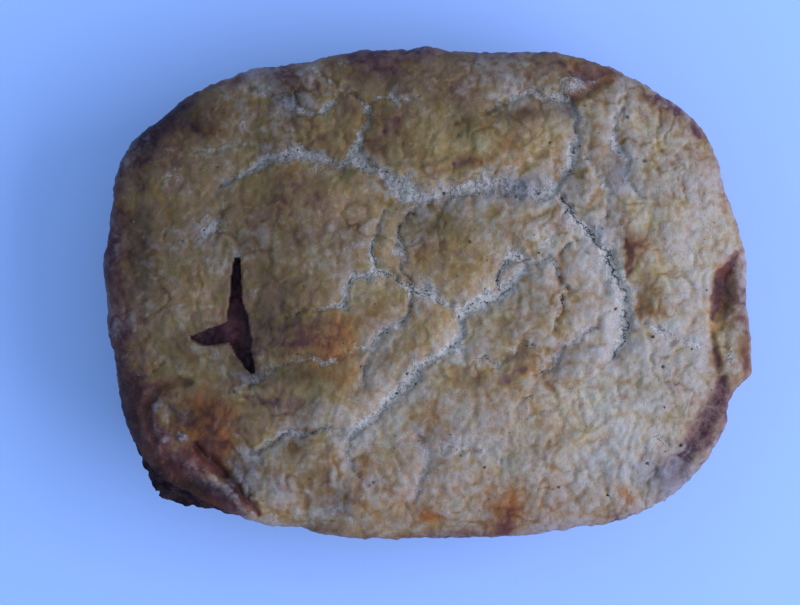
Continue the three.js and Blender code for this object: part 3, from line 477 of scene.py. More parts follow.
BAKE_BASE = 0.56
# Less baked towards the side the light comes from, partly as painted light.
BAKE_LIGHT_SIDE = -0.18
BAKE_GRAIN = 0.03
BAKE_SCALE = 0.06
BAKE_PLATE = 0.05
BAKE_RISE = 0.14
BAKE_RISE_SPAN = (-0.6, 0.8)
# Paler on the tops of small lumps and darker in creases, scale lines and wrinkles: painted light
# and shade.
BAKE_SHADE_SMALL = -0.16
SMALL_SPAN = (-0.5, 0.5)
BAKE_SHADE_CREASE = 0.14
BAKE_SHADE_SCALE_LINE = 0.07
BAKE_SHADE_WRINKLE = 0.02
# Paler round the cracks, as a painted highlight.
BAKE_HALO = -0.06
BAKE_STREAK = 0.26
BAKE_MOTTLE = 0.1
BAKE_CORNER = -0.04
# Darker on the walls inside the vent as painted shade, and browner at the vent's rim.
BAKE_VENT_SHADE = 0.5
BAKE_VENT_RIM = 0.12
VENT_RIM_WIDTH = 0.8
# Darker in the pits: painted shade.
BAKE_PIT_SHADE = 0.35
BLUSH_SPAN = (-0.3, 1)
FLOUR_BLUSHED = 0.75
# Painted sheen of the sky on the crust, with some pale tone: the least, and what adds to it and
# takes from it.
SHEEN_BASE = 0.01
SHEEN_LIGHT_SIDE = 0.3
SHEEN_HALO = 0.2
SHEEN_CREASE = -0.2
SHEEN_SCALE_LINE = -0.1
SHEEN_WRINKLE = -0.08
SHEEN_BROWN = -0.8
SHEEN_BLUSH = -0.4
SHEEN_SMALL = 0.4
SHEEN_MOTTLE = 0.35
SHEEN_SPAN = (-0.5, 1)
# Glaze on blushed spots: how much, what is taken off, and the most; then the wet streak's.
GLAZE_SHARE = 0.6
GLAZE_LESS = 0.05
GLAZE_MOST = 0.2
WET_STREAKS = 0.5
WET_SHOWS = (0, 0.5)
WET_GLAZE = 0.7
# Painted highlights on the wet streak.
WET_SHEEN = 0.6
# Painted light and shade: how much at the least, towards the light side, and from the broad tones.
PAINTED_LIGHT_BASE = 0.47
PAINTED_LIGHT_SHARE = 0.47
PAINTED_LIGHT_TONE = 0.79
GOLD_SHARE = -2.5
# The side the light comes from lies this way, over this span along it in millimetres; painted
# light is stronger there.
LIGHT_SIDE = (0.77, -0.64)
LIGHT_SIDE_SPAN = (-50.0, 42.0)

# ---- The case ----

# Height spans in millimetres over which a thing sets in: the wall's bumps from the foot and
# from the flange, the flange's roughness, its teeth, the lid's wander, the flange's tone, the
# foot's tone and the flour under the lid.
WALL_FROM_FOOT = (0.2, 3.0)
WALL_FROM_FLANGE = (24.0, 20.0)
FLANGE_SPAN = (20.0, 24.0)
TEETH_SPAN = (22.4, 24.0)
WANDER_SPAN = (24.0, 27.0)
RIM_SPAN = (20.0, 25.0)
FOOT_SPAN = (4.0, 0.0)
SEAM_SPAN = (27.0, 26.4)
# The side where the rim is darker as painted shade: direction and spread in degrees.
SHADED_ANGLE = 185
SHADED_SPREAD = 60
CASE_BASE = 0.5
CASE_RIM = 0.16
CASE_SHADED = 0.2
CASE_BARE = 0.5
CASE_FOOT = 0.1
# Painted light on the case: at the least, more towards the light side, and painted shade on the
# rim.
CASE_PAINTED_LIGHT = 0.5
CASE_PAINTED_LIGHT_SIDE = 0.4
CASE_PAINTED_SHADE_RIM = 0.75
CASE_FLOUR = 0.12
# Painted sheen on the case, less on the bare flange.
CASE_SHEEN = -0.06
CASE_SHEEN_BARE = -0.4
UNDERSIDE_BAKE = 0.55
UNDERSIDE_PAINTED_LIGHT = 0.5
CASE_SHINE = 0.04

# ---- The filling ----

FILLING_MARGIN = 2.8
FILLING_OVERLAP = 0.1
MEAT_REDNESS = 0.9
MEAT_LESS = 0.1

# ---- Crumbs ----

SEED = 11
# Tried places for each crumb, how far out on the lid, the chance of one anywhere and how much
# greater it is on floury floors, and how far from the vent they stay, in millimetres.
CRUMB_TRIES = 6
CRUMB_SPREAD = 0.95
CRUMB_CHANCE = 0.12
CRUMB_FLOURY_CHANCE = 0.8
CRUMB_CLEARANCE = 1.0
# Radius: least, how much more, and the power that makes most of them small.
CRUMB_LEAST = 0.16
CRUMB_MORE = 0.34
CRUMB_POWER = 2.2
CRUMB_WIDTHS = (0.55, 1.0)
CRUMB_HEIGHTS = (0.35, 0.8)
CRUMB_DENTS = (0.72, 1.15)
CRUMB_SUNK = 0.5
CRUMB_BAKE = 0.1
CRUMB_BAKE_SPREAD = 0.5
CRUMB_FLOUR = 0.1
CRUMB_SHEEN = 0.1
GOLDEN_RATIO = (1 + math.sqrt(5)) / 2
CRUMB_CORNERS = (
    (-1, GOLDEN_RATIO, 0), (1, GOLDEN_RATIO, 0), (-1, -GOLDEN_RATIO, 0), (1, -GOLDEN_RATIO, 0),
    (0, -1, GOLDEN_RATIO), (0, 1, GOLDEN_RATIO), (0, -1, -GOLDEN_RATIO), (0, 1, -GOLDEN_RATIO),
    (GOLDEN_RATIO, 0, -1), (GOLDEN_RATIO, 0, 1), (-GOLDEN_RATIO, 0, -1), (-GOLDEN_RATIO, 0, 1),
)
CRUMB_TRIANGLES = (
    (0, 11, 5), (0, 5, 1), (0, 1, 7), (0, 7, 10), (0, 10, 11), (1, 5, 9), (5, 11, 4),
    (11, 10, 2), (10, 7, 6), (7, 1, 8), (3, 9, 4), (3, 4, 2), (3, 2, 6), (3, 6, 8),
    (3, 8, 9), (4, 9, 5), (2, 4, 11), (6, 2, 10), (8, 6, 7), (9, 8, 1),
)

# ---- Materials ----

# Masks that the pastry reads.
PASTRY_MASKS = (
    "bake", "blush", "flour", "bloom", "fair", "gold", "slit_gap", "slit_shadow", "glaze",
)

# A mix node's share and colour inputs, and its colour output.
MIX_INPUTS = (0, 6, 7)
MIX_OUTPUT = 2

# Noise textures: repeats per metre, detail, roughness and distortion.
DOUGH_NOISES = {
    "Crumb": (2300.0, 2.0, 0.6, 0.0),
    "Fleck": (560.0, 3.0, 0.5, 0.2),
    "Tone": (330.0, 3.0, 0.55, 0.3),
    "Blotch": (150.0, 3.0, 0.55, 0.4),
    "Grit": (1250.0, 2.0, 0.65, 0.3),
}
SPECK_NOISE = (3100.0, 1.0, 0.5, 0.0)
FIBRE_NOISE = (900.0, 4.0, 0.6, 0.8)
CLOUD_NOISE = (6.0, 2.0, 0.55, 0.0)

# Where each crust colour stands on the way from raw to burnt.
BAKE_STOPS = {
    "pale_crust": 0.0, "light_crust": 0.3, "golden_crust": 0.52,
    "brown_crust": 0.74, "dark_crust": 0.91, "burnt_crust": 1.0,
}

# What the dough's grain adds to a mask: the weight of each kind, and a number added last.
BAKE_DOUGH = ({"Fleck": -0.34, "Blotch": 0.2, "Crumb": 0.18, "Tone": 0.26}, -0.15)
BLUSH_DOUGH = ({"Tone": 1.1, "Blotch": 1.1}, -1.08)
ROSY_DOUGH = ({"Tone": -1.0, "Fleck": -0.6, "Crumb": 0.6}, 0.62)
FLOUR_DOUGH = ({"Fleck": 0.9, "Grit": 0.9}, -0.9)
SHEEN_DOUGH = ({"Fleck": 1.0, "Blotch": 0.3, "Crumb": 0.15}, -0.725)
SLIT_DOUGH = ({"Fleck": 1.8, "Crumb": 1.6}, -1.7)

# Ranges: low and high of the value, and what these become where it isn't 0 and 1.
SPECK_RANGE = (0.6, 0.72)
DEEP_BLUSH_RANGE = (0.5, 0.82)
BLUSH_RANGE = (0.0, 1.0)
ROSY_RANGE = (0.0, 0.3, 0.0, 0.6)
ROSY_ON_GOLD = (0.0, 1.0, 1.0, 0.15)
FLOUR_RANGE = (0.25, 0.75, 0.0, 0.85)
SHEEN_RANGE = (0.0, 0.8, 0.0, 0.9)
SPECK_SHARE = (0.4, 0.6, 0.6, 0.05)
# Painted shade between the grains of the cracks' floors: where it shows.
GRIT_RANGE = (0.48, 0.36, 0.0, 0.75)
# The painted shadow in a slit: its edge and how much of it shows.
SLIT_EDGE = (0.15, 0.05)
SLIT_SHARE = (0.05, 0.6, 0.0, 0.9)
CRUST_ROUGHNESS = (0.2, 0.9, 0.6, 0.42)
MEAT_RANGE = (0.1, 0.9)
GRAVY_ROUGHNESS = (0.35, 0.65, 0.45, 0.75)

LID_SHINE = 0.1
GLAZE_ROUGHNESS = 0.32
# Bumps: strength and height in metres, and how much each thing stands out.
CRUST_BUMP = (1.0, 0.0003)
FLECK_BUMP = 1.0
CRUMB_BUMP = 0.4
GRIT_BUMP = 2.2
SLIT_BUMP = -0.6
FIBRE_BUMP = (0.5, 0.0004)
FIBRE_SHARE = 0.6
FIBRE_LESS = -0.3
GRAVY_SHINE = 0.25
FLOOR_DARKER = 0.97
FLOOR_ROUGHNESS = 0.7

# ---- Stage ----

# The photograph looks straight down. Across its width it shows this much at the height of the
# rim, and the pie's middle lies off its centre by this much, in millimetres.
PHOTO_WIDTH = 172.6
PHOTO_CENTRE = (-5.72, -1.94)
CAMERA_HEIGHT = 600.0
CLIP_START = 0.01
RIM_Z = 29.0
SENSOR = 36.0
# The main light's place and what it faces, in metres.
KEY_PLACE = (0.82, -0.15, 0.47)
LIGHT_AIM = (0, 0, 0.02)


# ---- Noise ----

def lattice_value(column, row, seed):
    """Repeatable values between -1 and 1 on a square lattice, the same as the solids use."""
    first_shift, second_shift = HASH_SHIFTS
    column = column.astype(np.int64).astype(np.uint32)
    row = row.astype(np.int64).astype(np.uint32)
    mixed = column * np.uint32(HASH_COLUMN) ^ row * np.uint32(HASH_ROW)
    mixed = mixed ^ np.uint32(seed * HASH_SEED & HASH_MASK)
    mixed = (mixed ^ (mixed >> np.uint32(first_shift))) * np.uint32(HASH_MIX)
    return (mixed ^ (mixed >> np.uint32(second_shift))) / HASH_HALF - 1.0


def smoother(value):
    """Smooth step of fifth order between 0 and 1."""
    value = np.clip(value, 0.0, 1.0)
    return value ** 3 * (value * (value * 6 - 15) + 10)


def smooth(value, low=0.0, high=1.0):
    """Smooth step between low and high."""
    share = np.clip((value - low) / (high - low), 0.0, 1.0)
    return share * share * (3 - 2 * share)


def falloff(distance, reach):
    """1 at no distance, falling off softly over the reach."""
    return np.exp(-(distance / reach) ** 2)


def lumps(x, y, size, seed):
    """Smooth lumps of the given size, between -1 and 1."""
    column = np.floor(x / size)
    row = np.floor(y / size)
    across = smoother(x / size - column)
    up = smoother(y / size - row)
    low, high = (
        lattice_value(column, level, seed) * (1 - across)
        + lattice_value(column + 1, level, seed) * across
        for level in (row, row + 1)
    )
    return low * (1 - up) + high * up


def layered(x, y, layers):
    """Lumps of several sizes added up, each layer by its weight, size and seed."""
    return sum(weight * lumps(x, y, size, seed) for weight, size, seed in layers)


def cells(x, y, size, seed):
    """Irregular cells: how far a point is from the nearest border, and a value for each cell."""
    column = np.floor(x / size)
    row = np.floor(y / size)
    first = np.full(x.shape, FAR)
    second = np.full(x.shape, FAR)
    value = np.zeros(x.shape)
    for step_x in (-1, 0, 1):
        for step_y in (-1, 0, 1):
            cell_x = column + step_x
            cell_y = row + step_y
            seed_x = cell_x + 0.5 + CELL_JITTER * lattice_value(cell_x, cell_y, seed)
            seed_y = cell_y + 0.5 + CELL_JITTER * lattice_value(cell_x, cell_y, seed + 1)
            distance = np.hypot(x / size - seed_x, y / size - seed_y)
            nearer = distance < first
            second = np.where(nearer, first, np.minimum(second, distance))
            value = np.where(nearer, lattice_value(cell_x, cell_y, seed + 2), value)
            first = np.where(nearer, distance, first)
    return second - first, value


# ---- Outline and lid plan ----

def superellipse(x, y):
    """Share of the way out to the rounded rectangle, that share's slope, and the way outward."""
    power_x = np.abs(x / (LENGTH / 2)) ** CORNER_POWER
    power_y = np.abs(y / (WIDTH / 2)) ** CORNER_POWER
    share = np.maximum((power_x + power_y) ** (1 / CORNER_POWER), LEAST)
    scale = share ** (1 - CORNER_POWER)
    gradient_x = power_x / np.where(x == 0, TINY, x) * scale
    gradient_y = power_y / np.where(y == 0, TINY, y) * scale
    slope = np.maximum(np.hypot(gradient_x, gradient_y), LEAST)
    return share, slope, gradient_x / slope, gradient_y / slope


def near_direction(angle, middle, spread):
    """1 where the direction is a feature's middle, falling off round it."""
    return falloff((np.degrees(angle) - middle + 180) % 360 - 180, spread)


def outline_reach(x, y, bulge_share=1.0):
    """The outline's distance from the middle as a multiple of the point's own."""
    distance = np.maximum(np.hypot(x, y), LEAST)
    angle = np.arctan2(y, x)
    radius = distance / superellipse(x, y)[0]
    for middle, spread, out in OUTLINE_BULGES:
        radius = radius + bulge_share * out * near_direction(angle, middle, spread)
    return radius / distance


def lid_plan(u, v):
    """A square grid's points (-1 to 1) on the lid's plan, whose border is the lid's edge."""
    ring = np.maximum(np.maximum(np.abs(u), np.abs(v)), TINY)
    border_x = u / ring * LENGTH / 2
    border_y = v / ring * WIDTH / 2
    out_x, out_y = superellipse(border_x, border_y)[2:]
    reach = outline_reach(border_x, border_y)
    bare = bareness(border_x, border_y)
    inset = LID_INSET + BARE_FLANGE_REACH * bare + layered(border_x, border_y, EDGE_WANDER)
    edge_x = border_x * reach - out_x * inset
    edge_y = border_y * reach - out_y * inset
    blend = ring ** BORDER_POWER
    x = u * LENGTH / 2 * (1 - blend) + edge_x * ring * blend
    y = v * WIDTH / 2 * (1 - blend) + edge_y * ring * blend
    return x, y


def plan_grid(cells_along):
    """Points of the lid's plan on a grid, row by row, and its numbers of columns and rows."""
    rows = round(cells_along * WIDTH / LENGTH)
    u, v = np.meshgrid(np.linspace(-1, 1, cells_along + 1), np.linspace(-1, 1, rows + 1))
    return *lid_plan(u.ravel(), v.ravel()), cells_along, rows


def bareness(x, y):
    """How near a direction is to where the flange shows past the lid."""
    return near_direction(np.arctan2(y, x), BARE_FLANGE_ANGLE, BARE_FLANGE_SPREAD)


def fairness(x, y):
    """How near a point is to the side the light comes from: 0 on the shaded side, 1 on the lit
    one.
    """
    return smooth(LIGHT_SIDE[0] * x + LIGHT_SIDE[1] * y, *LIGHT_SIDE_SPAN)


def part_shift():
    """The middle of the outline's box, which the part's frame has at its origin."""
    angle = np.linspace(0, 2 * np.pi, OUTLINE_STEPS, endpoint=False)
    x = np.cos(angle)
    y = np.sin(angle)
    reach = outline_reach(x, y)
    return tuple((np.max(way * reach) + np.min(way * reach)) / 2 for way in (x, y))


# ---- Lines on the lid ----

def curve_points(line, steps):
    """Points along a centripetal Catmull-Rom curve through the line's points."""
    knots = np.array(line, float)
    knots = np.vstack([2 * knots[0] - knots[1], knots, 2 * knots[-1] - knots[-2]])
    spans = len(line) - 1
    points = []
    for step in range(steps + 1):
        at = min(step / steps * spans, spans - TINY)
        first = int(at)
        share = at - first
        p0, p1, p2, p3 = knots[first:first + 4]
        gap0, gap1, gap2 = (
            math.sqrt(np.linalg.norm(b - a)) for a, b in ((p0, p1), (p1, p2), (p2, p3)))
        leave = ((p1 - p0) / gap0 - (p2 - p0) / (gap0 + gap1) + (p2 - p1) / gap1) * gap1
        arrive = ((p2 - p1) / gap1 - (p3 - p1) / (gap1 + gap2) + (p3 - p2) / gap2) * gap1
        square = -3 * p1 + 3 * p2 - 2 * leave - arrive
        cube = 2 * p1 - 2 * p2 + leave + arrive
        points.append(p1 + leave * share + square * share ** 2 + cube * share ** 3)
    return np.array(points)


def beside_line(points, x, y):
    """Distance from a line of points, the half-width there, the distance signed so that it is
    positive on the steep side, and how squarely the line faces that side."""
    nearest = np.full(x.shape, FAR)
    half_width = np.zeros(x.shape)
    signed = np.zeros(x.shape)
    facing = np.zeros(x.shape)
    for start, end in zip(points[:-1], points[1:]):
        run = end[:2] - start[:2]
        length = math.hypot(*run)
        if length < TINY:
            continue
        along = np.clip(((x - start[0]) * run[0] + (y - start[1]) * run[1]) / length ** 2, 0, 1)
        off_x = x - start[0] - along * run[0]
        off_y = y - start[1] - along * run[1]
        distance = np.hypot(off_x, off_y)
        normal = np.array((run[1], -run[0])) / length
        square = float(normal @ np.array(STEEP_SIDE))
        if square < 0:
            normal = -normal
            square = -square
        across = off_x * normal[0] + off_y * normal[1]
        closer = distance < nearest
        nearest = np.where(closer, distance, nearest)
        half_width = np.where(closer, start[2] + along * (end[2] - start[2]), half_width)
        signed = np.where(closer, np.copysign(distance, across), signed)
        facing = np.where(closer, square, facing)
    return nearest, half_width, signed, facing


def near_box(points, x, y):
    """Which points lie in the box round a line, with a margin."""
    low = points[:, :2].min(0) - LINE_MARGIN
    high = points[:, :2].max(0) + LINE_MARGIN
    return (x > low[0]) & (x < high[0]) & (y > low[1]) & (y < high[1])


def patch(x, y, middle_x, middle_y, half_length, half_width, turn=0):
    """A soft-edged oval: 1 in its middle."""
    turn = math.radians(turn)
    along = (x - middle_x) * math.cos(turn) + (y - middle_y) * math.sin(turn)
    across = (y - middle_y) * math.cos(turn) - (x - middle_x) * math.sin(turn)
    return falloff(along, half_length) * falloff(across, half_width)


# ---- The lid's surface ----

def crack_field(x, y):
    """Depth, pale floor and painted highlight at the edge of all the cracks at each point, and for
    the slit of the nearest crack its signed distance and how dark its painted shadow is."""
    depth, floor, highlight_halo, slit_shadow = np.zeros((4, *x.shape))
    slit_gap = np.full(x.shape, SLIT_REACH)
    nearest = np.full(x.shape, FAR)
    breaks = layered(x, y, SLIT_BREAKS)
    swell = 1 + layered(x, y, CRACK_SWELLS)
    streaks = 1 + layered(x, y, FLOUR_STREAKS)
    for deep, pale, dark, line in (*CRACKS.values(), *HAIRLINES.values()):
        points = curve_points(line, CURVE_STEPS * len(line))
        spot = near_box(points, x, y)
        distance, half, signed, facing = beside_line(points, x[spot], y[spot])
        half = half * swell[spot]
        torn = distance / (TORN_SHARE * half + TORN_EXTRA)
        valley = falloff(distance, VALLEY_SHARE * half + VALLEY_SIDE)
        hollow = VALLEY_PART * valley + (1 - VALLEY_PART) * smooth(1 - torn, 0, TORN_SLOPE)
        depth[spot] = np.maximum(depth[spot], deep * hollow)
        strewn = (0.5 + 0.5 * smooth(half, *FLOURY_WIDTHS)) * streaks[spot]
        crumbly = pale * strewn * np.clip(FLOURY_REACH - torn, 0, 1)
        floor[spot] = np.maximum(floor[spot], crumbly)
        past = np.maximum(distance - half, 0)
        highlight_halo[spot] = np.maximum(highlight_halo[spot], pale * falloff(past, HALO_REACH + half))
        gap = np.clip(signed - SLIT_SHIFT * facing * half, -SLIT_REACH, SLIT_REACH)
        # How dark the painted shadow in the slit is, where the breaks let it show.
        shown = dark * smooth(breaks[spot] + SLIT_HOLD * dark, *SLIT_SHOWS)
        shown = shown * smooth(half, *SLIT_WIDTHS)
        closer = (distance < nearest[spot]) & (distance < half + SLIT_NEAR)
        nearest[spot] = np.where(closer, distance, nearest[spot])
        slit_gap[spot] = np.where(closer, gap, slit_gap[spot])
        slit_shadow[spot] = np.where(closer, shown, slit_shadow[spot])
    return depth, floor, highlight_halo, slit_gap, slit_shadow


def fold_field(x, y):
    """Depth, browning with painted shade in the creases, and redness of the folds."""
    depth, brown, red = np.zeros((3, *x.shape))
    for deep, browner, redder, line in FOLDS.values():
        points = curve_points(line, CURVE_STEPS * len(line))
        spot = near_box(points, x, y)
        distance, half, _, _ = beside_line(points, x[spot], y[spot])
        half = FOLD_SHARE * half + FOLD_EXTRA
        hollow = smooth(1 - distance / half) ** FOLD_POWER
        tint = falloff(distance, FOLD_TINT_SHARE * half)
        depth[spot] = np.maximum(depth[spot], deep * hollow)
        brown[spot] = np.maximum(brown[spot], browner * tint)
        red[spot] = np.maximum(red[spot], redder * tint)
    return depth, brown, red


def vent_distance(x, y):
    """Distance out from the vent's edge, negative inside it."""
    nearest = np.full(x.shape, FAR)
    for line in VENT_SLASHES:
        distance, half, _, _ = beside_line(curve_points(line, VENT_STEPS), x, y)
        nearest = np.minimum(nearest, distance - half)
    return nearest


def cell_relief(x, y, kind, border, step):
    """Cells rounded at their borders: how full one is, how far it stands up or down, how near a
    border is, and the cell's value."""
    edge, value = cells(x, y, *kind)
    return smooth(edge, 0, border), step * value, edge, value


def skin_field(x, y, floor):
    """The skin's small relief, and the marks in it that the browning, the painted shade and the
    painted sheen follow.
    """
    rightward = smooth(x, *RIGHTWARD)
    calm = 1 - FLOOR_CALM * np.clip(floor, 0, 1)
    bent = (x + layered(x, y, CELL_BEND_X), y + layered(x, y, CELL_BEND_Y))
    plate, plate_rise, _, plate_value = cell_relief(*bent, PLATE_CELLS, PLATE_BORDER, PLATE_STEP)
    scale, scale_rise, scale_edge, scale_value = cell_relief(
        *bent, SCALE_CELLS, SCALE_BORDER, SCALE_STEP)
    grain, grain_rise, _, grain_value = cell_relief(*bent, GRAIN_CELLS, GRAIN_BORDER, GRAIN_STEP)
    plate = plate * smooth(layered(x, y, PLATE_AREAS), *PLATE_SHOWS)
    scale_line = falloff(scale_edge, SCALE_LINE_WIDTH) * smooth(
        layered(x, y, SCALE_AREAS) + RIGHT_SHOWS * rightward, *SCALE_LINE_SHOWS)
    crease = falloff(layered(*bent, CRINKLES), CREASE_WIDTH) * smooth(
        layered(x, y, CRINKLE_AREAS) + RIGHT_SHOWS * rightward, *CREASE_SHOWS)
    wrinkle = falloff(layered(*bent, WRINKLES) + layered(x, y, WRINKLE_BREAKS), WRINKLE_WIDTH)
    streak = layered(STREAK_TURN[0] * x + STREAK_TURN[1] * y,
                     STREAK_SQUEEZE * (STREAK_TURN[0] * y - STREAK_TURN[1] * x), STREAKS)
    streak += layered(x, y, STREAK_BREAKS)
    corner = patch(x, y, *BROWNED_CORNER)
    small = (SCALE_HEIGHT + SCALE_HEIGHT_RIGHT * rightward) * (scale - 0.5 + scale_rise) * calm
    small += PLATE_HEIGHT * (plate - 0.5 + plate_rise) * calm
    small += GRAIN_HEIGHT * (grain - 0.5 + grain_rise)
    small -= calm * (CREASE_DEPTH * crease + WRINKLE_DEPTH * wrinkle)
    small += layered(x, y, SKIN_LUMPS) + STREAK_HEIGHT * corner * streak
    marks = {
        "plate": plate_value, "scale": scale_value, "grain": grain_value, "calm": calm,
        "scale_line": scale_line, "crease": crease, "wrinkle": wrinkle, "streak": streak,
        "corner": corner,
    }
    return small, marks


def tone_field(x, y, warp_x, warp_y):
    """How much browner, redder and paler the lid's patches are, and how much painted sheen and
    painted light they have.
    """
    brown, blush, bloom, light, pale = np.zeros((5, *x.shape))
    for *oval, browner, redder in BROWN_PATCHES:
        spot = patch(warp_x, warp_y, *oval)
        brown += browner * spot
        blush += redder * spot
    for *oval, browner, redder, bloomier, painted_light_shift in BROAD_TONES:
        spot = patch(x, y, *oval)
        brown += browner * spot
        blush += redder * spot
        bloom += bloomier * spot
        # Painted light, painted shade where below 0.
        light += painted_light_shift * spot
    for *oval, paler in PALE_PATCHES:
        pale += paler * patch(warp_x, warp_y, *oval)
    return brown, blush, bloom, light, pale


def rim_field(angle, inward):
    """How much browner and redder the rim is, darker on the left as painted shade, and how much
    painted sheen it has.
    """
    tones = np.zeros((3, *angle.shape))
    for middle, spread, width, *amounts in RIM_BROWN_AND_SHADE:
        band = falloff(inward, width) * near_direction(angle, middle, spread)
        for tone, amount in zip(tones, amounts):
            np.maximum(tone, amount * band, out=tone)
    return tones


def lid_surface(x, y):
    """Height of the lid over the table, and the masks that its material reads."""
    angle = np.arctan2(y, x)
    share = np.minimum(1 / outline_reach(x, y), 1)
    inward = (1 - share) / superellipse(x, y)[1]
    run = np.clip(inward / SHOULDER_RUN, 0, 1)
    shoulder = SHOULDER_RISE * np.sqrt(1 - (1 - run) ** 2)
    dome = DOME_RISE * (1 - share ** DOME_POWER)

    warp_x = x + layered(x, y, CRACK_WARP_X)
    warp_y = y + layered(x, y, CRACK_WARP_Y)
    depth, floor, highlight_halo, slit_gap, slit_shadow = crack_field(warp_x, warp_y)
    fold_depth, fold_brown_and_shade, fold_red = fold_field(
        x + FOLD_WARP * (warp_x - x), y + FOLD_WARP * (warp_y - y))
    broad = -np.maximum(depth, fold_depth)
    for *oval, rise in PADS:
        broad += rise * patch(x, y, *oval)
    for seed, (size, height, right_height) in enumerate(LUMPS, start=1):
        broad += (height + right_height * smooth(x, 0, LENGTH / 2)) * lumps(x, y, size, seed)
    small, marks = skin_field(x, y, floor)
    pit = np.zeros(x.shape)
    for place in PITS:
        pit = np.maximum(pit, patch(x, y, *place, PIT_RADIUS, PIT_RADIUS))
    broad += np.clip(floor, 0, 1) * layered(x, y, FLOOR_LUMPS)
    broad -= SLIT_DEPTH * slit_shadow * falloff(slit_gap, SLIT_HALF_WIDTH) + PIT_DEPTH * pit

    vent = vent_distance(x + layered(x, y, VENT_WANDER_X), y + layered(x, y, VENT_WANDER_Y))
    broad += VENT_LIP * falloff(np.maximum(vent, 0), VENT_LIP_WIDTH)
    relief = (broad + small) * np.clip(run + EDGE_RELIEF, 0, 1)
    inside = smooth(-vent, *VENT_WALL)
    height = (LID_EDGE_Z + shoulder + dome + relief) * (1 - inside) + VENT_FLOOR_Z * inside

    brown, blush, sheen_shift, light, pale = tone_field(x, y, warp_x, warp_y)
    rim, rim_red, rim_bloom = rim_field(angle, inward)
    # How near the side the light comes from; it sets the painted light.
    fair = fairness(x, y)
    corner, streak, calm = marks["corner"], marks["streak"], marks["calm"]
    mottle = layered(x, y, MOTTLE)
    small_share = np.clip(small, *SMALL_SPAN)

    bake = BAKE_BASE + BAKE_LIGHT_SIDE * fair + brown + rim + fold_brown_and_shade + layered(x, y, BAKE_LUMPS)
    bake += BAKE_PLATE * marks["plate"] + BAKE_SCALE * marks["scale"]
    bake += BAKE_GRAIN * marks["grain"]
    # Raised parts browner; lump tops paler and creases darker as painted light and shade; paler
    # round cracks as a painted highlight.
    bake += BAKE_RISE * np.clip(broad, *BAKE_RISE_SPAN) + BAKE_SHADE_SMALL * small_share
    bake += (BAKE_SHADE_CREASE * marks["crease"] + BAKE_SHADE_SCALE_LINE * marks["scale_line"]) * calm
    bake += BAKE_SHADE_WRINKLE * marks["wrinkle"] + BAKE_HALO * highlight_halo
    bake += corner * (BAKE_STREAK * streak + BAKE_MOTTLE * mottle + BAKE_CORNER)
    # The vent's walls and the pits darker as painted shade; the vent's rim browner.
    bake += BAKE_VENT_SHADE * inside + BAKE_VENT_RIM * falloff(vent, VENT_RIM_WIDTH) + BAKE_PIT_SHADE * pit

    blush += corner * layered(x, y, CORNER_BLUSH)
    flour = np.clip(pale + floor, 0, 1) * (1 - FLOUR_BLUSHED * np.clip(blush + fold_red, 0, 1))

    wet = patch(x, y, *WET_STREAK) * smooth(
        layered(x, y, WET_BREAKS) + WET_STREAKS * streak, *WET_SHOWS)
    glaze = np.clip(GLAZE_SHARE * blush * np.clip(brown, 0, 1) - GLAZE_LESS, 0, GLAZE_MOST)
    glaze += WET_GLAZE * wet

    # Painted sheen, with some pale tone: more on the light side, on lump tops, round cracks and as
    # wet glints.
    bloom = SHEEN_BASE + SHEEN_LIGHT_SIDE * fair + sheen_shift + rim_bloom + SHEEN_HALO * highlight_halo
    bloom += SHEEN_CREASE * marks["crease"] + SHEEN_SCALE_LINE * marks["scale_line"]
    bloom += SHEEN_WRINKLE * marks["wrinkle"] + SHEEN_SMALL * small_share
    bloom += SHEEN_BROWN * (np.maximum(brown, 0) + rim + fold_brown_and_shade) + SHEEN_BLUSH * blush
    bloom += layered(x, y, SHEEN_LUMPS) + WET_SHEEN * wet + SHEEN_MOTTLE * corner * mottle
    masks = {
        "bake": np.clip(bake, 0, 1),
        "blush": np.clip(blush + fold_red + rim_red, *BLUSH_SPAN),
        "flour": flour * (1 - inside),
        "bloom": np.clip(bloom, *SHEEN_SPAN) * (1 - inside),
        # Painted light from the light side and the broad tones; painted shade where it is low.
        "fair": np.clip(PAINTED_LIGHT_BASE + PAINTED_LIGHT_SHARE * fair + PAINTED_LIGHT_TONE * light, 0, 1),
        "gold": np.clip(GOLD_SHARE * sheen_shift, 0, 1),
        "slit_gap": slit_gap,
        "slit_shadow": np.clip(slit_shadow, 0, 1),
        "glaze": np.clip(glaze, 0, 1) * (1 - inside),
    }
    return height, masks


# ---- Mesh helpers ----

def grid_corners(columns, rows):
    """Indices of a grid's points, whose rows run from -Y to +Y."""
    return np.arange((columns + 1) * (rows + 1)).reshape(rows + 1, columns + 1)


def grid_faces(columns, rows):
    """Quads of a grid."""
    corner = grid_corners(columns, rows)
    quads = (corner[:-1, :-1], corner[:-1, 1:], corner[1:, 1:], corner[1:, :-1])
    return np.stack(quads, -1).reshape(-1, 4)


def border_of(columns, rows):
    """Indices of a grid's border, anticlockwise seen from above."""
    corner = grid_corners(columns, rows)
    return np.concatenate([corner[0, :-1], corner[:-1, -1], corner[-1, :0:-1], corner[:0:-1, 0]])


def pastry_masks(count, **given):
    """The pastry's masks for a number of points: those given, and none of the others."""
    return {name: np.full(count, given.get(name, 0.0)) for name in PASTRY_MASKS}


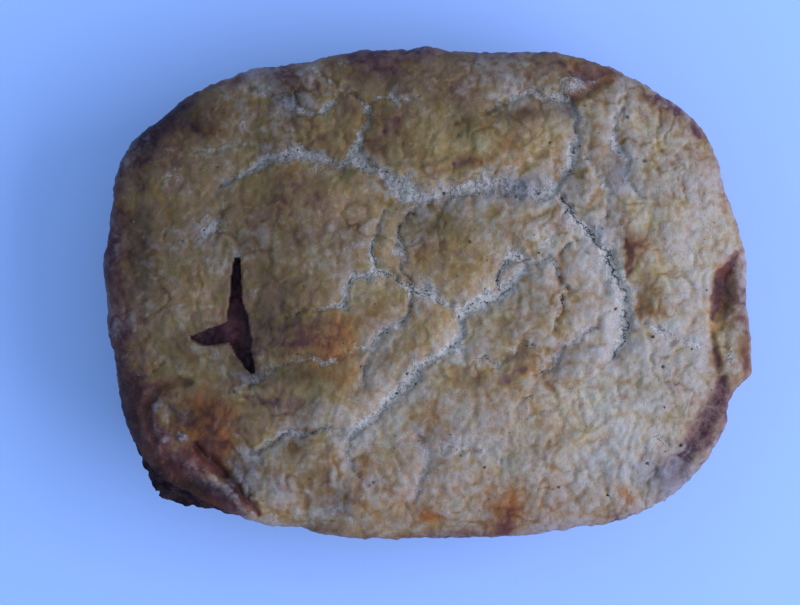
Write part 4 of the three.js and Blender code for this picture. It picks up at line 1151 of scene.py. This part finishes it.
def make_mesh(name, points, faces, masks, material):
    """A smooth-shaded object from points in millimetres, with its masks as vertex attributes."""
    mesh = bpy.data.meshes.new(name)
    placed = (points - np.array((*part_shift(), 0.0))) * MM
    sizes = np.array([len(face) for face in faces])
    corners = np.concatenate([np.asarray(face) for face in faces])
    starts = np.concatenate([[0], np.cumsum(sizes)[:-1]])
    mesh.vertices.add(len(placed))
    mesh.vertices.foreach_set("co", placed.astype(np.float32).ravel())
    mesh.loops.add(len(corners))
    mesh.loops.foreach_set("vertex_index", corners.astype(np.int32))
    mesh.polygons.add(len(faces))
    mesh.polygons.foreach_set("loop_start", starts.astype(np.int32))
    mesh.update(calc_edges=True)
    mesh.validate()
    mesh.polygons.foreach_set("use_smooth", np.ones(len(mesh.polygons), bool))
    for mask_name, values in masks.items():
        layer = mesh.attributes.new(mask_name, "FLOAT", "POINT")
        layer.data.foreach_set("value", np.asarray(values, np.float32))
    mesh.materials.append(material)
    return link_object(name, mesh)


def link_object(name, data):
    """A new object in the scene."""
    made = bpy.data.objects.new(name, data)
    bpy.context.scene.collection.objects.link(made)
    return made


def attach(piece, node):
    """Rides a piece on the pie, in place of the solid that it dresses."""
    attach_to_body(piece, "root")
    if node:
        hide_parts(node)


# ---- Node helpers ----

def opaque(colour):
    """A colour with full alpha."""
    return (*colour, 1.0)


def new_group(name, inputs, outputs):
    """An empty shader node group; each input has a default or None."""
    group = bpy.data.node_groups.new(name, "ShaderNodeTree")
    for socket_name, kind, default in inputs:
        socket = group.interface.new_socket(socket_name, in_out="INPUT", socket_type=kind)
        if default is not None:
            socket.default_value = default
    for socket_name, kind in outputs:
        group.interface.new_socket(socket_name, in_out="OUTPUT", socket_type=kind)
    return group, group.nodes.new("NodeGroupInput"), group.nodes.new("NodeGroupOutput")


def place_group(tree, group, links):
    """Puts a group in a tree, links its inputs and gives its outputs."""
    node = tree.nodes.new("ShaderNodeGroup")
    node.node_tree = group
    for name, source in links.items():
        tree.links.new(source, node.inputs[name])
    return node.outputs


def calculate(tree, operation, *values, clamp=False):
    """A math node on sockets and numbers."""
    node = tree.nodes.new("ShaderNodeMath")
    node.operation = operation
    node.use_clamp = clamp
    for slot, value in zip(node.inputs, values):
        if isinstance(value, bpy.types.NodeSocket):
            tree.links.new(value, slot)
        else:
            slot.default_value = value
    return node.outputs[0]


def sum_of(tree, *terms):
    """The sum of its terms: a socket or a number adds itself, and a pair is multiplied first."""
    total = None
    for term in terms:
        if isinstance(term, tuple):
            term = calculate(tree, "MULTIPLY", *term)
        total = term if total is None else calculate(tree, "ADD", total, term)
    return total


def product_of(tree, first, second):
    """Two sockets multiplied, held between 0 and 1."""
    return calculate(tree, "MULTIPLY", first, second, clamp=True)


def remap(tree, value, low, high, to_low=0.0, to_high=1.0):
    """A value mapped from one range to another, and held there."""
    node = tree.nodes.new("ShaderNodeMapRange")
    limits = {"From Min": low, "From Max": high, "To Min": to_low, "To Max": to_high}
    for name, limit in limits.items():
        node.inputs[name].default_value = limit
    tree.links.new(value, node.inputs["Value"])
    return node.outputs["Result"]


def mix_colour(tree, share, first, second, blend="MIX"):
    """Two colours, sockets or tuples, mixed by a socket or a number."""
    node = tree.nodes.new("ShaderNodeMix")
    node.data_type = "RGBA"
    node.blend_type = blend
    for source, number in zip((share, first, second), MIX_INPUTS):
        if isinstance(source, bpy.types.NodeSocket):
            tree.links.new(source, node.inputs[number])
        else:
            node.inputs[number].default_value = source
    return node.outputs[MIX_OUTPUT]


def noise(tree, place, scale, detail, roughness, distortion):
    """A noise texture's value; scale is in repeats per metre."""
    node = tree.nodes.new("ShaderNodeTexNoise")
    node.inputs["Scale"].default_value = scale
    node.inputs["Detail"].default_value = detail
    node.inputs["Roughness"].default_value = roughness
    node.inputs["Distortion"].default_value = distortion
    tree.links.new(place, node.inputs["Vector"])
    return node.outputs["Fac"]


def mask(tree, name):
    """A vertex attribute's value."""
    node = tree.nodes.new("ShaderNodeAttribute")
    node.attribute_name = name
    return node.outputs["Fac"]


def add_bump(tree, shader, height, strength, distance):
    """Lets a height stand out of the surface."""
    bump = tree.nodes.new("ShaderNodeBump")
    bump.inputs["Strength"].default_value = strength
    bump.inputs["Distance"].default_value = distance
    tree.links.new(height, bump.inputs["Height"])
    tree.links.new(bump.outputs["Normal"], shader.inputs["Normal"])


# ---- Shared effects ----

def crumb_group():
    """Grain of baked dough: the Crumb, Fleck, Tone, Blotch and Grit noises, and specks."""
    name = "Dough crumb"
    if name in bpy.data.node_groups:
        return bpy.data.node_groups[name]
    outputs = [(kind, "NodeSocketFloat") for kind in (*DOUGH_NOISES, "Speck")]
    group, inside, outside = new_group(name, [("Place", "NodeSocketVector", None)], outputs)
    place = inside.outputs["Place"]
    for kind, settings in DOUGH_NOISES.items():
        group.links.new(noise(group, place, *settings), outside.inputs[kind])
    specks = remap(group, noise(group, place, *SPECK_NOISE), *SPECK_RANGE)
    group.links.new(specks, outside.inputs["Speck"])
    return group


def colour_with_painted_light_group(look):
    """Colour of pastry from how far it is baked, how red it has turned and how floury it is, under
    painted light and shade.
    """
    name = "Bake colour"
    if name in bpy.data.node_groups:
        return bpy.data.node_groups[name]
    shares = ("Bake", "Blush", "Rosy", "Painted sheen", "Painted light", "Flour")
    inputs = [(share, "NodeSocketFloat", 0.0) for share in shares]
    group, inside, outside = new_group(name, inputs, [("Color", "NodeSocketColor")])
    bake, blush, rosy, bloom, fair, flour = (inside.outputs[share] for share in shares)

    def by_painted_light(dull, bright):
        """A colour that turns from its painted-shade copy to its painted-light copy."""
        return mix_colour(group, fair, opaque(dull), opaque(bright))

    ramp = group.nodes.new("ShaderNodeValToRGB")
    elements = ramp.color_ramp.elements
    while len(elements) < len(BAKE_STOPS):
        elements.new(0.5)
    for element, (crust, stop) in zip(elements, BAKE_STOPS.items()):
        element.position = stop
        element.color = opaque(getattr(look, crust))
    group.links.new(bake, ramp.inputs["Fac"])
    colour = mix_colour(group, rosy, ramp.outputs["Color"], opaque(look.rosy))
    red = mix_colour(group, remap(group, bake, *DEEP_BLUSH_RANGE),
                     opaque(look.blush), opaque(look.deep_blush))
    colour = mix_colour(group, blush, colour, red)
    # Painted light and shade: the colour is multiplied, darker on the shaded side and brighter on
    # the lit one.
    colour = mix_colour(group, 1.0, colour, by_painted_light(look.painted_shade_tint, look.fair_side), "MULTIPLY")
    # Painted sheen, in a shaded copy and a lit copy.
    colour = mix_colour(group, bloom, colour, by_painted_light(look.dull_bloom, look.bloom))
    # The pale crumb in a painted-shade copy and a painted-light copy.
    colour = mix_colour(group, flour, colour, by_painted_light(look.shaded_flour, look.flour))
    group.links.new(colour, outside.inputs["Color"])
    return group


def new_material(name):
    """A material with an empty tree, its Principled shader and object coordinates."""
    material = bpy.data.materials.new(name)
    material.use_nodes = True
    tree = material.node_tree
    place = tree.nodes.new("ShaderNodeTexCoord").outputs["Object"]
    return material, tree, tree.nodes["Principled BSDF"], place


# ---- Finishes ----

def pastry(look, name, shine):
    """Browned pastry with pale crumb in its cracks, under painted light, shade and sheen, with
    painted shadow in its slits and painted shade between its grains.
    """
    material, tree, shader, place = new_material(name)
    crumb = place_group(tree, crumb_group(), {"Place": place})

    def grained(start, dough):
        """A mask with the dough's grain added to it."""
        weights, offset = dough
        return sum_of(tree, *start, *((crumb[kind], weight) for kind, weight in weights.items()),
                      offset)

    bake = grained([mask(tree, "bake")], BAKE_DOUGH)
    rosy = remap(tree, grained([], ROSY_DOUGH), *ROSY_RANGE)
    flour = remap(tree, grained([mask(tree, "flour")], FLOUR_DOUGH), *FLOUR_RANGE)
    colour = place_group(tree, colour_with_painted_light_group(look), {
        "Bake": bake,
        "Blush": remap(tree, grained([mask(tree, "blush")], BLUSH_DOUGH), *BLUSH_RANGE),
        "Rosy": product_of(tree, rosy, remap(tree, mask(tree, "gold"), *ROSY_ON_GOLD)),
        "Painted sheen": remap(tree, grained([mask(tree, "bloom")], SHEEN_DOUGH), *SHEEN_RANGE),
        "Painted light": mask(tree, "fair"),
        "Flour": flour,
    })["Color"]
    specks = product_of(tree, crumb["Speck"], remap(tree, crumb["Tone"], *SPECK_SHARE))
    colour = mix_colour(tree, specks, colour, opaque(look.speck))
    # Painted shade between the grains of the cracks' floors.
    grain_gap_shade_share = product_of(tree, flour, remap(tree, crumb["Grit"], *GRIT_RANGE))
    colour = mix_colour(tree, grain_gap_shade_share, colour, opaque(look.grain_gap_shade))
    # Painted shadow in the slits.
    gap = calculate(tree, "ABSOLUTE", grained([mask(tree, "slit_gap")], SLIT_DOUGH))
    slit = product_of(tree, remap(tree, gap, *SLIT_EDGE), mask(tree, "slit_shadow"))
    colour = mix_colour(tree, remap(tree, slit, *SLIT_SHARE), colour, opaque(look.slit))
    tree.links.new(colour, shader.inputs["Base Color"])
    tree.links.new(remap(tree, bake, *CRUST_ROUGHNESS), shader.inputs["Roughness"])
    tree.links.new(mask(tree, "glaze"), shader.inputs["Coat Weight"])
    shader.inputs["Coat Roughness"].default_value = GLAZE_ROUGHNESS
    shader.inputs["Specular IOR Level"].default_value = shine
    gritty = product_of(tree, flour, crumb["Grit"])
    height = sum_of(tree, (crumb["Fleck"], FLECK_BUMP), (crumb["Crumb"], CRUMB_BUMP),
                    (gritty, GRIT_BUMP), (slit, SLIT_BUMP))
    add_bump(tree, shader, height, *CRUST_BUMP)
    return material


def gravy_and_meat(look):
    """Wet filling: dark gravy with maroon meat standing out of it."""
    material, tree, shader, place = new_material("Gravy and meat")
    fibres = noise(tree, place, *FIBRE_NOISE)
    meaty = sum_of(tree, mask(tree, "meat"), (fibres, FIBRE_SHARE), FIBRE_LESS)
    share = remap(tree, meaty, *MEAT_RANGE)
    colour = mix_colour(tree, share, opaque(look.gravy), opaque(look.meat))
    tree.links.new(colour, shader.inputs["Base Color"])
    tree.links.new(remap(tree, fibres, *GRAVY_ROUGHNESS), shader.inputs["Roughness"])
    shader.inputs["Specular IOR Level"].default_value = GRAVY_SHINE
    add_bump(tree, shader, fibres, *FIBRE_BUMP)
    return material


def floor_paint(stage):
    """The plain pale floor."""
    material, tree, shader, place = new_material("Pale floor")
    darker = tuple(FLOOR_DARKER * channel for channel in stage.floor_colour)
    cloud = noise(tree, place, *CLOUD_NOISE)
    colour = mix_colour(tree, cloud, opaque(darker), opaque(stage.floor_colour))
    tree.links.new(colour, shader.inputs["Base Color"])
    shader.inputs["Roughness"].default_value = FLOOR_ROUGHNESS
    return material


# ---- Pieces ----

def lid_piece(form, look):
    """The lid's fine skin, out to its edge."""
    x, y, columns, rows = plan_grid(form.lid_cells)
    height, masks = lid_surface(x, y)
    height[border_of(columns, rows)] = LID_EDGE_Z
    points = np.stack([x, y, height], -1)
    material = pastry(look, "Baked pastry", LID_SHINE)
    return make_mesh("crust_lid", points, grid_faces(columns, rows), masks, material)


def side_rings(per_step):
    """Rings of the side, from the lid's edge to the foot, no further apart than a step."""
    knots = np.array([(LID_EDGE_Z, LID_INSET, 1.0, 1.0), *SIDE_PROFILE])
    rings = [knots[0]]
    for start, end in zip(knots[:-1], knots[1:]):
        steps = max(1, round(math.hypot(end[0] - start[0], end[1] - start[1]) / per_step))
        rings.extend(start + (end - start) * step / steps for step in range(1, steps + 1))
    return rings


def case_ring(edge_x, edge_y, arc, bare, height, inset, bulge_share, bare_share):
    """A ring of the side: where it runs in plan."""
    if height >= LID_EDGE_Z:
        return edge_x, edge_y
    level = np.full(len(arc), height)
    reach = outline_reach(edge_x, edge_y, bulge_share)
    out_x, out_y = superellipse(edge_x * reach, edge_y * reach)[2:]
    tip = TIP_REACH * near_direction(np.arctan2(edge_y, edge_x), TIP_ANGLE, TIP_SPREAD)
    teeth = bare * layered(arc, np.zeros(len(arc)), FLANGE_TEETH)
    wall = smooth(height, *WALL_FROM_FOOT) * smooth(height, *WALL_FROM_FLANGE)
    inset = inset + BARE_FLANGE_REACH * bare * bare_share
    inset -= wall * layered(arc, level, WALL_BUMPS)
    inset += smooth(height, *FLANGE_SPAN) * layered(arc, level, FLANGE_BUMPS)
    inset += smooth(height, *TEETH_SPAN) * (teeth - tip)
    inset += smooth(height, *WANDER_SPAN) * layered(edge_x, edge_y, EDGE_WANDER)
    return edge_x * reach - out_x * inset, edge_y * reach - out_y * inset


def case_piece(form, look):
    """The case: the flange under the lid, the wall and the underside."""
    x, y, columns, rows = plan_grid(form.case_cells)
    border = border_of(columns, rows)
    edge_x, edge_y = x[border], y[border]
    count = len(border)
    arc = np.arange(count) * (2 * (LENGTH + WIDTH) / count)
    bare = bareness(edge_x, edge_y)
    shaded = near_direction(np.arctan2(edge_y, edge_x), SHADED_ANGLE, SHADED_SPREAD)
    # The rim browner, browner still on the bare flange, and darker on the shaded side as painted
    # shade.
    rim_bake = CASE_RIM + CASE_SHADED * shaded + CASE_BARE * bare
    # Painted light on the side: stronger towards the light side, none on the bare flange.
    side_fair = (CASE_PAINTED_LIGHT + CASE_PAINTED_LIGHT_SIDE * fairness(edge_x, edge_y)) * (1 - bare)
    rings = side_rings(form.case_row)
    points, bake, flour, fair = [], [], [], []
    for height, inset, bulge_share, bare_share in rings:
        level = np.full(count, height)
        ring = case_ring(edge_x, edge_y, arc, bare, height, inset, bulge_share, bare_share)
        points.append(np.stack([*ring, level], -1))
        rim = smooth(height, *RIM_SPAN)
        foot = smooth(height, *FOOT_SPAN)
        patchy = layered(arc, level, CASE_BAKE)
        bake.append(CASE_BASE + patchy + rim * rim_bake + CASE_FOOT * foot)
        # Painted shade on the rim under the lid.
        fair.append(side_fair * (1 - CASE_PAINTED_SHADE_RIM * rim))
        flour.append(CASE_FLOUR * smooth(height, *SEAM_SPAN) * rim * (1 - bare))
    index = np.arange(count)
    following = (index + 1) % count
    faces = []
    for lower in range(count, count * len(rings), count):
        upper = lower - count
        quads = (lower + index, lower + following, upper + following, upper + index)
        faces.extend(np.stack(quads, -1))
    middle = count * len(rings)
    lowest = middle - count
    faces.extend((middle, lowest + second, lowest + first)
                 for first, second in zip(index, following))
    bloom = np.tile(CASE_SHEEN + CASE_SHEEN_BARE * bare, len(rings))
    masks = pastry_masks(
        middle + 1,
        bake=np.append(np.concatenate(bake), UNDERSIDE_BAKE),
        flour=np.append(np.concatenate(flour), 0.0),
        bloom=np.append(bloom, CASE_SHEEN),
        fair=np.append(np.concatenate(fair), UNDERSIDE_PAINTED_LIGHT),
    )
    points = np.vstack([*points, np.zeros((1, 3))])
    material = pastry(look, "Dry pastry", CASE_SHINE)
    return make_mesh("crust_case", points, faces, masks, material)


def filling_piece(form, look):
    """The filling in the vent: lumps of meat in gravy, out to the walls of the vent."""
    ends = np.array([point[:2] for line in VENT_SLASHES for point in line])
    low = ends.min(0) - FILLING_MARGIN
    high = ends.max(0) + FILLING_MARGIN
    columns, rows = (int(round(span / form.filling_cell)) for span in high - low)
    ways = (np.linspace(low[0], high[0], columns + 1), np.linspace(low[1], high[1], rows + 1))
    x, y = (way.ravel() for way in np.meshgrid(*ways))
    height = FILLING_TOP_Z + layered(x, y, FILLING_LUMPS)
    faces = grid_faces(columns, rows)
    kept = faces[(vent_distance(x, y)[faces] < FILLING_OVERLAP).any(axis=1)]
    used, faces = np.unique(kept, return_inverse=True)
    redness = MEAT_REDNESS * patch(x, y, *MEAT_PATCH) + layered(x, y, MEAT_LUMPS) - MEAT_LESS
    points = np.stack([x, y, height], -1)[used]
    return make_mesh("vent_gravy", points, faces.reshape(-1, 4), {"meat": redness[used]},
                     gravy_and_meat(look))


def crumbs_piece(form):
    """Loose crumbs and flakes on the lid, more of them on floury floors."""
    rng = np.random.default_rng(SEED)
    corners = np.array(CRUMB_CORNERS) / np.linalg.norm(CRUMB_CORNERS[0])
    count = len(corners)
    tries = form.crumb_count * CRUMB_TRIES
    u = rng.uniform(-CRUMB_SPREAD, CRUMB_SPREAD, tries)
    v = rng.uniform(-CRUMB_SPREAD, CRUMB_SPREAD, tries)
    x, y = lid_plan(u, v)
    height, lid_masks = lid_surface(x, y)
    wanted = rng.random(tries) < CRUMB_CHANCE + CRUMB_FLOURY_CHANCE * lid_masks["flour"]
    clear = vent_distance(x, y) > CRUMB_CLEARANCE
    points, faces, bake = [], [], []
    for number, at in enumerate(np.flatnonzero(wanted & clear)[:form.crumb_count]):
        size = CRUMB_LEAST + CRUMB_MORE * rng.random() ** CRUMB_POWER
        stretch = np.array((1.0, rng.uniform(*CRUMB_WIDTHS), rng.uniform(*CRUMB_HEIGHTS))) * size
        turn = rng.uniform(0, 2 * math.pi)
        rough_x, rough_y, rough_z = (corners * stretch * rng.uniform(*CRUMB_DENTS, (count, 1))).T
        turned = np.stack([rough_x * math.cos(turn) - rough_y * math.sin(turn),
                           rough_x * math.sin(turn) + rough_y * math.cos(turn), rough_z], -1)
        points.append(turned + (x[at], y[at], height[at] + CRUMB_SUNK * stretch[2]))
        faces.append(np.array(CRUMB_TRIANGLES) + count * number)
        bake.append(np.full(count, CRUMB_BAKE + CRUMB_BAKE_SPREAD * rng.random()))
    points = np.vstack(points)
    masks = pastry_masks(len(points), bake=np.concatenate(bake), flour=CRUMB_FLOUR,
                         bloom=CRUMB_SHEEN)
    material = bpy.data.materials["Baked pastry"]
    return make_mesh("lid_crumbs", points, np.vstack(faces), masks, material)


# ---- Stage ----

def add_camera():
    """The camera, straight above the pie, with the photograph's framing."""
    data = bpy.data.cameras.new("camera")
    data.sensor_width = SENSOR
    data.lens = SENSOR * CAMERA_HEIGHT / PHOTO_WIDTH
    data.clip_start = CLIP_START
    data.dof.use_dof = False
    camera = link_object("camera", data)
    middle_x, middle_y = (at - shift for at, shift in zip(PHOTO_CENTRE, part_shift()))
    camera.location = (middle_x * MM, middle_y * MM, (RIM_Z + CAMERA_HEIGHT) * MM)
    bpy.context.scene.camera = camera


def add_key_light(stage):
    """The main light: a soft square that faces the pie."""
    data = bpy.data.lights.new("key", "AREA")
    data.shape = "SQUARE"
    data.size = stage.key_size
    data.energy = stage.key_power
    data.color = stage.key_colour
    light = link_object("key", data)
    light.location = KEY_PLACE
    way = Vector(LIGHT_AIM) - Vector(KEY_PLACE)
    light.rotation_euler = way.to_track_quat("-Z", "Y").to_euler()


def add_sky(stage):
    """The light all round."""
    world = bpy.data.worlds.new("soft sky")
    world.use_nodes = True
    sky = world.node_tree.nodes["Background"]
    sky.inputs["Color"].default_value = opaque(stage.sky_colour)
    sky.inputs["Strength"].default_value = stage.sky_strength
    bpy.context.scene.world = world


def add_floor(stage):
    """The plain floor under the pie."""
    half = stage.floor_size / 2
    mesh = bpy.data.meshes.new("floor")
    corners = [(-half, -half, 0), (half, -half, 0), (half, half, 0), (-half, half, 0)]
    mesh.from_pydata(corners, [], [(0, 1, 2, 3)])
    mesh.materials.append(floor_paint(stage))
    floor = link_object("floor", mesh)


# ---- Settings ----

def colour(name, description, default, top=1.0):
    """A colour that the user may change."""
    return FloatVectorProperty(
        name=name, description=description, subtype="COLOR", default=default, min=0, max=top)


class PieFormSettings(bpy.types.PropertyGroup):
    """Fineness of the pie's meshes and the number of its crumbs."""

    lid_cells: IntProperty(
        name="Lid cells", description="Cells of the lid's mesh along the pie", default=350, min=40)
    case_cells: IntProperty(
        name="Case cells", description="Cells of the case along the pie", default=300, min=40)
    case_row: FloatProperty(
        name="Case row", description="Height of a row of the case's mesh, in millimetres",
        default=0.75, min=0.2)
    filling_cell: FloatProperty(
        name="Filling cell", description="Cell of the filling's mesh, in millimetres",
        default=0.25, min=0.1)
    crumb_count: IntProperty(
        name="Crumbs", description="Loose crumbs on the lid", default=170, min=1)


class PieLookSettings(bpy.types.PropertyGroup):
    """Colours of the pastry and the filling, with the painted light, shade and sheen on the
    pastry.
    """

    pale_crust: colour("Pale crust", "Barely baked pastry", (0.44, 0.34, 0.22))
    light_crust: colour("Light crust", "Lightly baked pastry", (0.343, 0.231, 0.11))
    golden_crust: colour("Golden crust", "Golden pastry", (0.233, 0.142, 0.0455))
    brown_crust: colour("Brown crust", "Browned pastry", (0.153, 0.080, 0.032))
    dark_crust: colour("Dark crust", "Darkly baked rim", (0.075, 0.030, 0.034))
    burnt_crust: colour("Burnt crust", "Burnt pastry", (0.036, 0.0137, 0.028))
    blush: colour("Blush", "Orange-red of richly browned spots", (0.30, 0.092, 0.024))
    deep_blush: colour("Deep blush", "Red-brown of the darkest spots", (0.112, 0.028, 0.017))
    rosy: colour("Rosy", "Pinkish brown mottling", (0.25, 0.125, 0.09))
    # Painted sheen of the sky on the crust on the lit side, with some pale tone.
    bloom: colour("Painted sheen", "Pale pinkish grey sheen on the fair side", (0.383, 0.306, 0.327))
    # The painted sheen's copy on the shaded side.
    dull_bloom: colour("Dull bloom", "Greyer sheen on the dark side", (0.178, 0.142, 0.198))
    # Painted shade: the crust's colour is multiplied by this on the shaded side.
    painted_shade_tint: colour("Dull side", "What the crust's colour is multiplied by on the dull side",
                      (0.291, 0.298, 0.415), top=2.0)
    # Painted light: the crust's colour is multiplied by this on the lit side.
    fair_side: colour("Fair side", "What the crust's colour is multiplied by on the fair side",
                      (1.14, 1.11, 1.335), top=2.0)
    speck: colour("Specks", "Fine red-brown specks", (0.11, 0.045, 0.03))
    # The lit copy of the pale crumb, brighter as painted light.
    flour: colour("Flour", "Pale crumb on the floors of the cracks", (0.575, 0.46, 0.455))
    # The shaded copy of the pale crumb, darker as painted shade.
    shaded_flour: colour("Dull flour", "The same on the dark side", (0.168, 0.137, 0.158))
    # Painted shade between the grains of the cracks' floors.
    grain_gap_shade: colour("Grit", "Dark between the grains of the cracks' floors", (0.12, 0.085, 0.088))
    # Colour of the painted shadow in the deepest slits.
    slit: colour("Slit", "The dark of the deepest slits", (0.014, 0.008, 0.006))
    gravy: colour("Gravy", "Dark gravy", (0.05, 0.014, 0.024))
    meat: colour("Meat", "Maroon of the meat", (0.15, 0.036, 0.05))


class PieStageSettings(bpy.types.PropertyGroup):
    """The floor and the lights."""

    floor_size: FloatProperty(
        name="Floor size", description="Side of the floor", default=3.0, min=0.5, unit="LENGTH")
    floor_colour: colour("Floor", "Pale blue of the floor", (0.375, 0.475, 0.95))
    sky_colour: colour("Sky", "Colour of the light all round", (0.50, 0.79, 1.0))
    sky_strength: FloatProperty(
        name="Sky strength", description="Strength of the light all round", default=0.87, min=0)
    key_colour: colour("Key light", "Colour of the main light", (0.74, 0.87, 1.0))
    key_power: FloatProperty(
        name="Key power", description="Power of the main light", default=13.5, min=0, unit="POWER")
    key_size: FloatProperty(
        name="Key size", description="Side of the main light", default=1.0, min=0.05,
        unit="LENGTH")


# ---- Operators ----

class PIE_OT_lid(bpy.types.Operator):
    """Build the cracked and browned lid"""

    bl_idname = "pie.lid"
    bl_label = "Cracked lid"

    def execute(self, context):
        lid = lid_piece(context.scene.pie_form, context.scene.pie_look)
        attach(lid, "pie_crust")
        return {"FINISHED"}


class PIE_OT_case(bpy.types.Operator):
    """Build the case under the lid"""

    bl_idname = "pie.case"
    bl_label = "Pastry case"

    def execute(self, context):
        case = case_piece(context.scene.pie_form, context.scene.pie_look)
        attach(case, "pie_crust")
        return {"FINISHED"}


class PIE_OT_filling(bpy.types.Operator):
    """Build the filling that shows in the vent"""

    bl_idname = "pie.filling"
    bl_label = "Filling in the vent"

    def execute(self, context):
        filling = filling_piece(context.scene.pie_form, context.scene.pie_look)
        attach(filling, "vent_filling")
        return {"FINISHED"}


class PIE_OT_crumbs(bpy.types.Operator):
    """Scatter loose crumbs on the lid, once that is built"""

    bl_idname = "pie.crumbs"
    bl_label = "Crumbs"

    def execute(self, context):
        crumbs = crumbs_piece(context.scene.pie_form)
        attach(crumbs, None)
        return {"FINISHED"}


class PIE_OT_stage(bpy.types.Operator):
    """Set up the camera, the floor and the lights"""

    bl_idname = "pie.stage"
    bl_label = "Stage"

    def execute(self, context):
        stage = context.scene.pie_stage
        context.scene.view_settings.view_transform = "Standard"
        add_camera()
        add_floor(stage)
        add_sky(stage)
        add_key_light(stage)
        return {"FINISHED"}


class PIE_PT_panel(bpy.types.Panel):
    """Lists the pie's pieces, sizes and colours"""

    bl_idname = "PIE_PT_panel"
    bl_label = "Pie"
    bl_space_type = "VIEW_3D"
    bl_region_type = "UI"
    bl_category = "Pie"

    def draw(self, context):
        column = self.layout.column()
        for operator in OPERATORS:
            column.operator(operator.bl_idname)
        scene = context.scene
        for settings in (scene.pie_form, scene.pie_look, scene.pie_stage):
            box = self.layout.box()
            for name in settings.__annotations__:
                box.prop(settings, name)


OPERATORS = (PIE_OT_lid, PIE_OT_case, PIE_OT_filling, PIE_OT_crumbs, PIE_OT_stage)
CLASSES = (PieFormSettings, PieLookSettings, PieStageSettings, *OPERATORS, PIE_PT_panel)


def register():
    """Registers the classes and puts the settings on the scene."""
    for cls in CLASSES:
        bpy.utils.register_class(cls)
    bpy.types.Scene.pie_form = PointerProperty(type=PieFormSettings)
    bpy.types.Scene.pie_look = PointerProperty(type=PieLookSettings)
    bpy.types.Scene.pie_stage = PointerProperty(type=PieStageSettings)


def unregister():
    """Takes the settings and the classes away."""
    del bpy.types.Scene.pie_stage
    del bpy.types.Scene.pie_look
    del bpy.types.Scene.pie_form
    for cls in reversed(CLASSES):
        bpy.utils.unregister_class(cls)


def main():
    """Registers the add-on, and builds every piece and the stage."""
    register()
    bpy.ops.pie.lid()
    bpy.ops.pie.case()
    bpy.ops.pie.filling()
    bpy.ops.pie.crumbs()
    bpy.ops.pie.stage()


if __name__ == "__main__":
    main()
